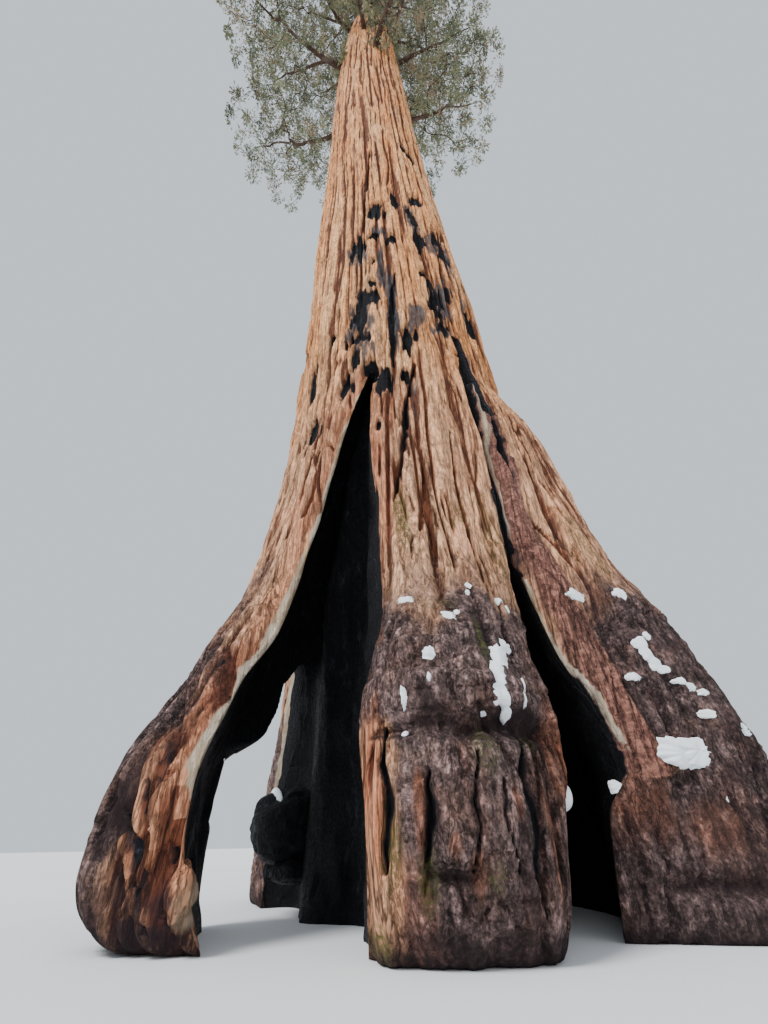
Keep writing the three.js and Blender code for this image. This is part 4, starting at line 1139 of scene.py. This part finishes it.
def leaf_finish(name, base):
    """One colour of foliage, a little uneven from spray to spray."""
    f = Finish(name)
    fine = f.noise(f.place, 30, 2)
    base = f.tint(f.tint(base, f.noise(f.place, 2.6, 3), 0.28), fine, 0.18)
    f.paint(base, f.range(fine, 0.3, 0.7, 0.5, 0.72), 0.3)
    return f.material


def snow_finish(colours):
    """Settled snow, faintly blue, grained and bright."""
    f = Finish("lying snow")
    grains, hollows = f.noise(f.place, 90, 4, 0.7), f.noise(f.place, 6, 3)
    f.paint(f.tint(colours.snow, hollows, 0.05), f.range(grains, 0.3, 0.7, 0.55, 0.8), 0.5)
    f.shader.inputs["Subsurface Weight"].default_value = 0.25
    f.shader.inputs["Subsurface Scale"].default_value = 0.02
    f.bump(f.plus(grains, hollows), 0.4, 0.006)
    return f.material


def floor_finish(colours):
    f = Finish("studio floor")
    f.paint(f.tint(colours.floor, f.noise(f.place, 0.2, 2), 0.02), 0.9, 0.1)
    return f.material


# ---------------------------------------------------------------- trunk


class REDWOOD_OT_trunk(bpy.types.Operator):
    """Build the trunk with its bark, burnt hollows, pale lips and burl"""

    bl_idname = "redwood.trunk"
    bl_label = "Trunk"

    def execute(self, context):
        sizes = context.scene.redwood_sizes
        bark = bark_finish(context.scene.redwood_colours)
        angles = trunk_angles(640)
        levels = np.concatenate([np.linspace(0, 3, 150, endpoint=False), np.linspace(3, FOOT_TOP, 137)])
        base = capped_solid("trunk_base", trunk_points(levels, angles, sizes))
        for i, hollow in enumerate(HOLLOWS):
            combine(base, hollow_cutter(hollow, f"hollow_{i}", sizes), "DIFFERENCE")
        for name, ball, seed in (("burl", BURL, BURL_SEED), ("stub", STUB, 95), ("callus", CALLUS, 97)):
            combine(base, charred_lump(name, ball, seed), "UNION")
        points, faces = point_array(base.data.vertices, "co"), face_array(base.data)
        bpy.data.objects.remove(base)
        lid = np.all(points[faces][:, :, 2] > FOOT_TOP * SCALE - 1e-4, axis=1)
        bark_pieces("trunk_foot", points, faces[~lid], bark, sizes)

        middle = trunk_points(np.linspace(FOOT_TOP, SHAFT_TOP, 148), angles, sizes)
        middle[-1, 1::2] = (middle[-1, 0::2] + np.roll(middle[-1, 0::2], -1, axis=0)) / 2
        bark_pieces("trunk_shaft", middle.reshape(-1, 3), grid_faces(*middle.shape[:2]), bark, sizes)

        upper = trunk_points(np.linspace(SHAFT_TOP, TRUNK_TOP, 190), angles[::2], sizes)
        upper[0] = middle[-1, 0::2]
        bark_pieces("trunk_top", *pointed(upper, upper[-1].mean(0) + (0, 0, 0.01)), bark, sizes)
        return {"FINISHED"}


# ---------------------------------------------------------------- snow


def snow_patch(i, azimuth, height, width, tall, sizes):
    """One patch that follows the bark below it, thickest in its middle and sunk in at its edge."""
    rho, turn = disc_grid(14, 64)
    edge = np.stack([np.cos(turn) * 1.4, np.sin(turn) * 1.4, np.full(turn.shape, i * 3.7)], -1)
    reach = 1 + 0.3 * rough(edge, 101) + 0.2 * rough(edge * 2.7, 102) + 0.1 * rough(edge * 7, 103)
    girth = float(trunk_radius(azimuth, height))
    az = azimuth + np.degrees(rho * reach * np.cos(turn) * width / 2 / girth)
    h = height + rho * reach * np.sin(turn) * tall / 2
    surface = trunk_surface(az, h, sizes)[0]
    for _ in range(8):
        beside = surface + np.roll(surface, 1, 1) + np.roll(surface, -1, 1)
        surface = (beside + np.vstack([surface[:1], surface[:-1]]) + np.vstack([surface[1:], surface[-1:]])) / 5
    level = 0.6 * surface + 0.4 * surface.mean()
    thick = sizes.snow_depth / SCALE * min(1.6, 0.5 + 2.4 * min(width, tall))
    domed = thick * (1.5 * np.sqrt(np.clip(1 - rho**2, 0, 1)) - 0.35)
    return on_axis(az, h, level + domed - 0.03 * (rho > 0.99))


def burl_cap():
    """Snow along the top of the burl."""
    rho, turn = disc_grid(9, 40)
    x, y = 0.09 * rho * np.cos(turn) - 0.42 - 0.2 * rho * np.sin(turn), 0.6 * rho * np.sin(turn) - 0.15
    unit = np.stack([x, y, np.sqrt(np.clip(1 - x**2 - y**2, 0, 1))], -1)
    lift = (0.04 * np.sqrt(np.clip(1 - rho**2, 0, 1)) - 0.015)[..., None] * (0, 0, 1)
    return np.array(BURL["centre"]) + unit * swollen(unit, BURL_SEED)[..., None] * BURL["radii"] + lift


def snow_lump():
    """A rounded lump of snow in the mouth of the right hollow."""
    unit = ball_grid(20, 32, 0.01)
    swell = 1 + 0.12 * rough(unit * 1.5, 111)
    return np.array(SNOW_LUMP["centre"]) + unit * swell[..., None] * SNOW_LUMP["radii"]


class REDWOOD_OT_snow(bpy.types.Operator):
    """Lay the snow that rests on the bark and on the burl"""

    bl_idname = "redwood.snow"
    bl_label = "Snow"

    def execute(self, context):
        sizes = context.scene.redwood_sizes
        heaps = [snow_patch(i, *row, sizes) for i, row in enumerate(SNOW)] + [burl_cap(), snow_lump()]
        points, faces = joined([(rings.reshape(-1, 3), grid_faces(*rings.shape[:2])) for rings in heaps])
        mesh = new_mesh("lying_snow", points * SCALE, faces)
        outwards(mesh)
        smooth(mesh)
        hand_over(new_piece("lying_snow", mesh, snow_finish(context.scene.redwood_colours)), ["trunk"])
        return {"FINISHED"}


# ---------------------------------------------------------------- crown


def dice_of(seed):
    """The same run of numbers from 0 to 1 as the part's source rolls for this seed."""
    state = seed & 0xFFFFFFFF
    while True:
        state = (state * 1664525 + 1013904223) & 0xFFFFFFFF
        yield state / 4294967296


def read_off(table, h):
    """A value of a table at one height, on straight lines through its rows."""
    return float(np.interp(h, *zip(*table)))


def axis_point(h):
    return np.array([read_off(TRUNK_AXIS, h), 0.0, h])


def level_heading(azimuth):
    x, y = heading(azimuth)
    return np.array([float(x), float(y), 0.0])


def unit_length(vectors):
    return vectors / np.linalg.norm(vectors, axis=-1, keepdims=True)


def bough_way(foot, t, out, inside, run, rise, swing):
    """The line of a bough: it sags, rises and swings to one side."""
    side = np.array([-out[1], out[0], 0.0])
    for s in np.linspace(0, 1, 25):
        up = rise * run * s - BOUGH["sag"] * run * math.sin(math.pi * s) * (1 - t)
        yield axis_point(foot) + out * (inside + run * s) + side * (swing * run * math.sin(math.pi * s)) + (0, 0, up)


def crown_plan():
    """Every bough and every mass of foliage, by the same rule as the part's source."""
    boughs, masses = [], []

    def add_mass(name, centre, azimuth, radii, root, start, thick, seed):
        masses.append({
            "node": name, "centre": centre, "azimuth": azimuth, "radii": radii, "root": root, "start": start,
            "thick": thick, "seed": seed,
        })

    for i in range(CROWN["boughs"]):
        dice = dice_of(1000 + i)
        t = i / (CROWN["boughs"] - 1)
        foot = lerp(CROWN["bottom"], CROWN["top"], t)
        azimuth = CROWN["start"] + CROWN["turn"] * i
        radii = [lerp(*MASS[key], t) for key in ("along", "across", "up")]
        full = 1 + FULL_SIDE["share"] * math.cos(math.radians(azimuth - FULL_SIDE["azimuth"]))
        reach = read_off(CROWN_REACH, foot) * (full + REACH_JITTER * (2 * next(dice) - 1))
        rise = lerp(*BOUGH["rise"], t**1.3)
        swing = BOUGH["swing"] * (2 * next(dice) - 1)
        inside = 0.3 * read_off(TRUNK_TAPER, foot)
        run = reach - radii[0] - MASS["entry"] * radii[0] * math.cos(math.atan(rise)) - inside
        way = list(bough_way(foot, t, level_heading(azimuth), inside, run, rise, swing))
        thick = lerp(*BOUGH["thickness"], t)
        tip, ahead = way[-1], unit_length(way[-1] - way[-2])
        widths = [thick * lerp(1, BOUGH["tip"], s) for s in np.linspace(0, 1, 25)]
        boughs.append({"node": f"bough_{i + 1:02d}", "way": np.array(way), "thick": np.array(widths)})
        centre = tip + ahead * MASS["entry"] * radii[0]
        add_mass(f"foliage_{i + 1:02d}", centre, azimuth, radii, tip, ahead, thick * BOUGH["tip"], 2000 + i)
    for i, (azimuth, height, out, radii) in enumerate(TOP_MASSES):
        ahead = level_heading(azimuth)
        centre, root = axis_point(height) + ahead * out, axis_point(height - 0.6)
        add_mass(f"foliage_top_{i + 1}", centre, azimuth, radii, root, ahead, TOP_STEM, 3000 + i)
    name, (height, radii) = f"foliage_top_{len(TOP_MASSES) + 1}", CROWN_TIP
    add_mass(name, axis_point(height), 0, radii, axis_point(69.5), np.array([0.0, 0.0, 1.0]), TOP_STEM, 3100)
    return boughs, masses


def tuft_places(mass, wanted, dice):
    """Where the tufts of a mass sit: spread evenly through it, and fewer deep inside its underside."""
    radii, out = np.array(mass["radii"]), level_heading(mass["azimuth"])
    axes = np.array([out, [-out[1], out[0], 0.0], [0.0, 0.0, 1.0]])
    unit = unit_length(dice.normal(size=(2600, 3)))
    limit = 0.92 - 0.24 * np.clip(rough(unit * 1.9 + mass["seed"] % 97, 121) + 0.15, 0, 1)
    depth = limit * dice.random(len(unit)) ** 0.45
    depth *= 1 - 0.45 * fade(0.1, 0.7, -unit[:, 2])
    gap = 0.88 * (float(np.prod(radii)) / wanted * 4.19) ** (1 / 3)
    tufts = []
    for spot in mass["centre"] + (unit * depth[:, None] * radii) @ axes:
        if all(np.sum((spot - other) ** 2) > gap * gap for other in tufts):
            tufts.append(spot)
            if len(tufts) >= wanted:
                break
    return sorted(tufts, key=lambda spot: np.linalg.norm(spot - mass["root"]))


def curved(start, end, ahead, points, dice):
    """A twig's line: it leaves along its carrier, bends towards its tuft and is never quite straight."""
    s = np.linspace(0, 1, points)[:, None]
    reach = np.linalg.norm(end - start)
    knee = start + ahead * reach * 0.35 + np.array([0, 0, 0.08 * reach])
    line = (1 - s) ** 2 * start + 2 * s * (1 - s) * knee + s**2 * end
    return line + dice.normal(scale=0.03 * reach, size=line.shape) * s * (1 - s) * 4


def grow_mass(mass, sizes):
    """Tuft centres in a mass, each with the twig that carries it: (centres, twig lines, twig thicknesses)."""
    dice = np.random.default_rng(mass["seed"])
    tufts = tuft_places(mass, sizes.tufts, dice)
    root = mass["root"]
    leader = curved(root, mass["centre"] + (mass["centre"] - root) * 0.35, mass["start"], 9, dice)
    ways, parents, carriers = [leader], [None], [(p, 0, k / 8) for k, p in enumerate(leader)]
    for tuft in tufts:
        spots = np.array([c[0] for c in carriers])
        cost = np.linalg.norm(spots - tuft, axis=1) + 0.12 * np.linalg.norm(spots - root, axis=1)
        start, branch, t = carriers[int(np.argmin(cost))]
        before, last = ways[branch], len(ways[branch]) - 1
        ahead = before[min(last, int(t * last) + 1)] - before[max(0, int(t * last) - 1)]
        way = curved(start, tuft, ahead / (np.linalg.norm(ahead) + 1e-9), 5, dice)
        ways.append(way)
        parents.append(branch)
        carriers += [(way[j], len(ways) - 1, j / 4) for j in (2, 3, 4)]
    load = np.ones(len(ways))
    for i in range(len(ways) - 1, 0, -1):
        load[parents[i]] += load[i]
    thick = [lerp(0.72 * mass["thick"], 0.035, np.linspace(0, 1, len(leader)))]
    for carried, way in zip(load[1:], ways[1:]):
        thick.append(lerp(0.013 * carried**0.5, 0.009 * max(1, carried - 1) ** 0.3, np.linspace(0, 1, len(way))))
    return np.array(tufts), ways, thick


def grow_on_bough(bough, sizes):
    """Tufts on short twigs along the outer part of a bough, as grow_mass gives them."""
    dice = np.random.default_rng(int(bough["node"][-2:]) + 4000)
    way, tufts, ways = bough["way"], [], []
    for k in range(sizes.side_tufts):
        s = lerp(0.16, 0.98, (k + dice.random()) / sizes.side_tufts)
        at = min(int(s * (len(way) - 1)), len(way) - 2)
        ahead = unit_length(way[at + 1] - way[at])
        aim = dice.normal(size=3)
        aim -= ahead * (aim @ ahead)
        aim = unit_length(aim) + 0.5 * ahead
        tuft = way[at] + aim * dice.uniform(0.5, 0.8 + 0.9 * s)
        tufts.append(tuft)
        ways.append(curved(way[at], tuft, aim, 5, dice))
    return np.array(tufts), ways, [np.linspace(0.022, 0.009, 5)] * len(ways)


def line_mesh(name, ways, thick):
    """Edges along every line, with a thickness on each point."""
    mesh = bpy.data.meshes.new(name)
    edges, start = [], 0
    for way in ways:
        edges += [(start + i, start + i + 1) for i in range(len(way) - 1)]
        start += len(way)
    mesh.from_pydata((np.concatenate(ways) * SCALE).tolist(), edges, [])
    put(mesh, "thickness", np.concatenate(thick) * SCALE)
    return mesh


class Growth(Nodes):
    """A Geometry Nodes tree with named inputs, which makes what repeats."""

    def __init__(self, name, **inputs):
        old = bpy.data.node_groups.get(name)
        if old is not None:
            bpy.data.node_groups.remove(old)
        super().__init__(bpy.data.node_groups.new(name, "GeometryNodeTree"))
        for label, kind in {"Geometry": "Geometry", **inputs}.items():
            label = label.replace("_", " ")
            self.tree.interface.new_socket(label, in_out="INPUT", socket_type="NodeSocket" + kind)
        self.tree.interface.new_socket("Geometry", in_out="OUTPUT", socket_type="NodeSocketGeometry")
        self.start = self.tree.nodes.new("NodeGroupInput").outputs
        self.end = self.tree.nodes.new("NodeGroupOutput").inputs

    def read(self, name, kind="FLOAT"):
        """A value that the mesh carries on its points."""
        return self.add("GeometryNodeInputNamedAttribute", {"Name": name}, "Attribute", data_type=kind)

    def random(self, kind, low, high):
        """A random number for each point, from the seed; its sockets depend on its kind."""
        first, output = {"FLOAT": (2, 1), "INT": (4, 2)}[kind]
        inputs = {first: low, first + 1: high, "Seed": self.start["Seed"]}
        return self.add("FunctionNodeRandomValue", inputs, output, data_type=kind)

    def run(self, name, mesh, values):
        """What the tree makes of a mesh, as a plain mesh."""
        carrier = new_piece(name + "_lines", mesh)
        modifier = carrier.modifiers.new("grow", "NODES")
        modifier.node_group = self.tree
        for item in self.tree.interface.items_tree:
            if item.item_type == "SOCKET" and item.in_out == "INPUT" and item.name in values:
                modifier[item.identifier] = values[item.name]
        made = baked(carrier)
        bpy.data.objects.remove(carrier)
        made.name = name
        if len(made.polygons) == 0:
            raise RuntimeError(f"{name} came out empty")
        return made


def twig_growth(material):
    """Round twigs along lines, as thick as the lines say."""
    g = Growth("Redwood twigs", Sides="Int", Thickness="Float")
    lines = g.add("GeometryNodeMeshToCurve", {"Mesh": g.start["Geometry"]})
    thickness = g.times(g.read("thickness"), g.start["Thickness"])
    lines = g.add("GeometryNodeSetCurveRadius", {"Curve": lines, "Radius": thickness})
    circle = g.add("GeometryNodeCurvePrimitiveCircle", {"Radius": 1, "Resolution": g.start["Sides"]}, "Curve")
    twigs = g.add("GeometryNodeCurveToMesh", {"Curve": lines, "Profile Curve": circle, "Fill Caps": True})
    sized = twigs.node.inputs.get("Scale")
    if sized is not None:
        g.feed(thickness, sized)
    twigs = g.add("GeometryNodeSetShadeSmooth", {"Geometry": twigs})
    twigs = g.add("GeometryNodeRealizeInstances", {"Geometry": twigs})
    twigs = g.add("GeometryNodeSetMaterial", {"Geometry": twigs, "Material": material})
    g.feed(twigs, g.end["Geometry"])
    return g


def spray_shape(name, seed, fingers=3):
    """One spray of foliage, a unit long: cord-like fingers round a stem, each a folded blade of two faces."""
    dice = np.random.default_rng(seed)
    points, faces = [], []
    for k in range(fingers):
        t = k / (fingers - 1)
        turn = GOLDEN_TURN * k + dice.uniform(-0.4, 0.4)
        lean = lerp(0.7, 0.15, t)
        root = np.array([0, 0, 0.4 * t])
        out = np.array([math.cos(turn), math.sin(turn), 0])
        ahead = out * math.sin(lean) + np.array([0, 0, math.cos(lean)])
        wide = unit_length(np.cross(ahead, out + (0.01, 0.02, 0.3)))
        blade = ahead * (lerp(0.72, 0.6, t) * dice.uniform(0.85, 1.1))
        rise = np.cross(wide, ahead) * 0.05
        i = len(points)
        left, right = root + blade * 0.55 + wide * 0.15 + rise, root + blade * 0.5 - wide * 0.15 + rise
        points += [root, left, root + blade, right]
        faces += [(i, i + 1, i + 2), (i, i + 2, i + 3)]
    mesh = bpy.data.meshes.new(name)
    mesh.from_pydata([list(p) for p in points], [], faces)
    return new_piece(name, mesh)


def spray_growth(shapes, materials):
    """Sprays on points, turned, sized and coloured as the points say, then made real."""
    g = Growth("Redwood sprays", Spray_Length="Float", Unevenness="Float", Seed="Int")
    bunch = g.tree.nodes.new("GeometryNodeGeometryToInstance")
    for shape in shapes:
        shown = g.add("GeometryNodeObjectInfo", {"Object": shape, "As Instance": True}, "Geometry")
        g.feed(shown, bunch.inputs[0])
    uneven = g.random("FLOAT", g.minus(1, g.start["Unevenness"]), 1)
    size = g.times(g.times(uneven, g.start["Spray Length"]), g.read("size"))
    sprays = g.add("GeometryNodeInstanceOnPoints", {
        "Points": g.start["Geometry"], "Instance": bunch.outputs[0], "Pick Instance": True,
        "Instance Index": g.random("INT", 0, len(shapes) - 1), "Scale": size,
        "Rotation": g.add("FunctionNodeEulerToRotation", {0: g.read("turn", "FLOAT_VECTOR")}),
    })
    sprays = g.add("GeometryNodeRealizeInstances", {"Geometry": sprays})
    tone = g.read("tone")
    for k, material in enumerate(materials):
        inputs = {"Geometry": sprays, "Material": material}
        if k:
            inputs["Selection"] = g.add(
                "FunctionNodeCompare", {0: tone, 1: k - 0.5}, data_type="FLOAT", operation="GREATER_THAN"
            )
        sprays = g.add("GeometryNodeSetMaterial", inputs)
    g.feed(sprays, g.end["Geometry"])
    return g


def limb_surface(way, thick, sides, seed):
    """A tapering limb as rings of points, with knots and scaly bark."""
    ahead = unit_length(np.gradient(way, axis=0))
    side = np.cross(ahead, (0, 0, 1))
    side /= np.linalg.norm(side, axis=1)[:, None] + 1e-9
    up = np.cross(side, ahead)
    turn = np.linspace(0, 2 * math.pi, sides, endpoint=False)
    ring = side[:, None, :] * np.cos(turn)[None, :, None] + up[:, None, :] * np.sin(turn)[None, :, None]
    points = way[:, None, :] + ring * thick[:, None, None]
    bumps = 0.13 * rough(points * 3.1 + seed, 131) + 0.07 * rough(points * 8 + seed, 132)
    return way[:, None, :] + ring * (thick[:, None] * (1 + bumps))[..., None]


class REDWOOD_OT_boughs(bpy.types.Operator):
    """Build the main boughs, one tapering limb each"""

    bl_idname = "redwood.boughs"
    bl_label = "Boughs"

    def execute(self, context):
        boughs, _ = crown_plan()
        parts = []
        for i, bough in enumerate(boughs):
            s, old = np.linspace(0, 1, 60), np.linspace(0, 1, len(bough["way"]))
            way = np.stack([np.interp(s, old, bough["way"][:, k]) for k in range(3)], -1)
            thick = np.interp(s, old, bough["thick"])
            flare = 0.6 + 0.4 * np.exp(-np.linalg.norm(way - way[0], axis=1) / 0.9)
            rings = limb_surface(way, thick * flare, 14, i * 7.3)
            parts.append(pointed(rings, rings[-1].mean(0)))
        points, faces = joined(parts)
        mesh = new_mesh("boughs", points * SCALE, faces)
        outwards(mesh)
        smooth(mesh)
        piece = new_piece("boughs", mesh, limb_finish(context.scene.redwood_colours))
        hand_over(piece, [b["node"] for b in boughs])
        return {"FINISHED"}


def sprays_on(tufts, mass, count, dice):
    """For every spray of a mass's tufts: its place, aim, length and tone."""
    for tuft, out in zip(tufts, (tufts - mass["centre"]) / np.array(max(mass["radii"]))):
        aim = unit_length(dice.normal(size=(count, 3)))
        aim = unit_length(aim + 0.75 * out + (0, 0, 0.25))
        spots = tuft + aim * 0.44 * dice.random((count, 1)) ** 0.7
        lengths = dice.uniform(0.75, 1, count)
        tone = dice.choice([0, 0, 0, 1, 1, 2, 3])
        tones = np.where(dice.random(count) < 0.55, tone, dice.choice([0, 0, 1, 2, 3], count))
        yield spots, aim, lengths, tones


def turn_angles(aims, spin):
    """Euler angles that spin a spray about its stem, tilt it and then turn it to face its way."""
    tilt, swing = np.arccos(np.clip(aims[:, 2], -1, 1)), np.arctan2(aims[:, 1], aims[:, 0])
    cs, ss, ct, st, cp, sp = (turn(angle) for angle in (swing, tilt, spin) for turn in (np.cos, np.sin))
    r20, r21, r22 = -st * cp, st * sp, ct
    r10, r00 = ss * ct * cp + cs * sp, cs * ct * cp - ss * sp
    return np.stack([np.arctan2(r21, r22), np.arcsin(np.clip(-r20, -1, 1)), np.arctan2(r10, r00)], -1)


def spray_points(rows, seed):
    """A mesh of single points that carry what the sprays on them need, kept within the solid part's own box."""
    spots, aims, lengths, tones = (np.concatenate(column) for column in zip(*rows))
    low, high = np.array(CAD_BOX) / SCALE
    spots = np.clip(spots, low + 0.3, high - 0.3)
    spin = np.random.default_rng(seed).uniform(0, 2 * math.pi, len(aims))
    mesh = bpy.data.meshes.new("spray_points")
    mesh.vertices.add(len(spots))
    mesh.vertices.foreach_set("co", np.ascontiguousarray(spots * SCALE, np.float32).ravel())
    put(mesh, "turn", turn_angles(aims, spin), "FLOAT_VECTOR", "vector")
    put(mesh, "size", lengths)
    put(mesh, "tone", tones)
    return mesh


class REDWOOD_OT_foliage(bpy.types.Operator):
    """Grow the twigs and sprays of every mass of foliage"""

    bl_idname = "redwood.foliage"
    bl_label = "Twigs and foliage"

    def execute(self, context):
        sizes, colours = context.scene.redwood_sizes, context.scene.redwood_colours
        boughs, masses = crown_plan()
        leaves = [
            leaf_finish("foliage green", colours.leaf_mid), leaf_finish("foliage deep green", colours.leaf_deep),
            leaf_finish("foliage bright green", colours.leaf_bright), leaf_finish("foliage brown", colours.leaf_brown),
        ]
        bark = bpy.data.materials.get("limb bark") or limb_finish(colours)
        shapes = [spray_shape(f"spray_{k}", 500 + k) for k in range(3)]
        growth = spray_growth(shapes, leaves)
        ways, thick = [], []
        for g, group in enumerate(np.array_split(np.arange(len(masses)), FOLIAGE_PIECES)):
            rows = []
            for k in group:
                mass = masses[k]
                grown = [grow_mass(mass, sizes)]
                if k < len(boughs):
                    grown.append(grow_on_bough(boughs[k], sizes))
                for _, lines, widths in grown:
                    ways += lines
                    thick += widths
                tufts = np.concatenate([centres for centres, _, _ in grown])
                rows += sprays_on(tufts, mass, sizes.sprays, np.random.default_rng(mass["seed"] + 7))
            values = {"Spray Length": sizes.spray_length, "Unevenness": 0.25, "Seed": 17 + g}
            made = growth.run(f"foliage_{g + 1}", spray_points(rows, 900 + g), values)
            hand_over(new_piece(f"crown_foliage_{g + 1}", made), [masses[k]["node"] for k in group])
        for shape in shapes:
            bpy.data.objects.remove(shape)
        values = {"Sides": sizes.twig_sides, "Thickness": 1.0}
        twigs = twig_growth(bark).run("twigs", line_mesh("twig_lines", ways, thick), values)
        hand_over(new_piece("crown_twigs", twigs), [m["node"] for m in masses])
        return {"FINISHED"}


# ---------------------------------------------------------------- stage


class REDWOOD_OT_stage(bpy.types.Operator):
    """Set up the pale floor, the soft light and the camera"""

    bl_idname = "redwood.stage"
    bl_label = "Stage"

    def execute(self, context):
        colours = context.scene.redwood_colours
        corners = 96
        turn = np.linspace(0, 2 * math.pi, corners, endpoint=False)
        ring = np.stack([400 * np.cos(turn), 400 * np.sin(turn), 0 * turn], -1)
        mesh = new_mesh("studio_floor", ring, np.arange(corners).reshape(1, corners))
        new_piece("studio_floor", mesh, floor_finish(colours))

        world = bpy.data.worlds.new("studio light")
        context.scene.world = world
        world.use_nodes = True
        light = world.node_tree.nodes["Background"]
        light.inputs["Color"].default_value = (*colours.sky[:3], 1)
        light.inputs["Strength"].default_value = 0.98

        for name, energy, tilt, turned_to, angle in LAMPS:
            lamp = bpy.data.lights.new(name, "SUN")
            lamp.energy = energy
            lamp.angle = math.radians(angle)
            lamp_object = bpy.data.objects.new(name, lamp)
            lamp_object.rotation_euler = (math.radians(tilt), 0, math.radians(turned_to))
            context.scene.collection.objects.link(lamp_object)

        camera = bpy.data.cameras.new("camera")
        camera.lens = 15.996
        camera.sensor_width = 36
        camera.clip_end = 1000
        view = bpy.data.objects.new("camera", camera)
        view.matrix_world = (
            Matrix.Translation(Vector(CAMERA["place"]) * SCALE)
            @ Matrix.Rotation(math.radians(90 + CAMERA["pitch"]), 4, "X")
            @ Matrix.Rotation(CAMERA["roll"], 4, "Z")
        )
        context.scene.collection.objects.link(view)
        context.scene.camera = view
        return {"FINISHED"}


# ---------------------------------------------------------------- panel and run


class REDWOOD_PT_panel(bpy.types.Panel):
    """Sizes, colours and pieces of the redwood"""

    bl_idname = "REDWOOD_PT_panel"
    bl_label = "Giant redwood"
    bl_space_type = "VIEW_3D"
    bl_region_type = "UI"
    bl_category = "Redwood"

    def draw(self, context):
        layout = self.layout
        for group in (context.scene.redwood_sizes, context.scene.redwood_colours):
            box = layout.box()
            for name in group.__annotations__:
                box.prop(group, name)
        for operator in OPERATORS:
            layout.operator(operator.bl_idname)


OPERATORS = (REDWOOD_OT_trunk, REDWOOD_OT_snow, REDWOOD_OT_boughs, REDWOOD_OT_foliage, REDWOOD_OT_stage)
CLASSES = (RedwoodSizes, RedwoodColours, *OPERATORS, REDWOOD_PT_panel)


def register():
    for cls in CLASSES:
        bpy.utils.register_class(cls)
    bpy.types.Scene.redwood_sizes = bpy.props.PointerProperty(type=RedwoodSizes)
    bpy.types.Scene.redwood_colours = bpy.props.PointerProperty(type=RedwoodColours)


def unregister():
    del bpy.types.Scene.redwood_colours
    del bpy.types.Scene.redwood_sizes
    for cls in reversed(CLASSES):
        bpy.utils.unregister_class(cls)


def main():
    register()
    bpy.ops.redwood.trunk()
    bpy.ops.redwood.snow()
    bpy.ops.redwood.boughs()
    bpy.ops.redwood.foliage()
    bpy.ops.redwood.stage()


if __name__ == "__main__":
    main()
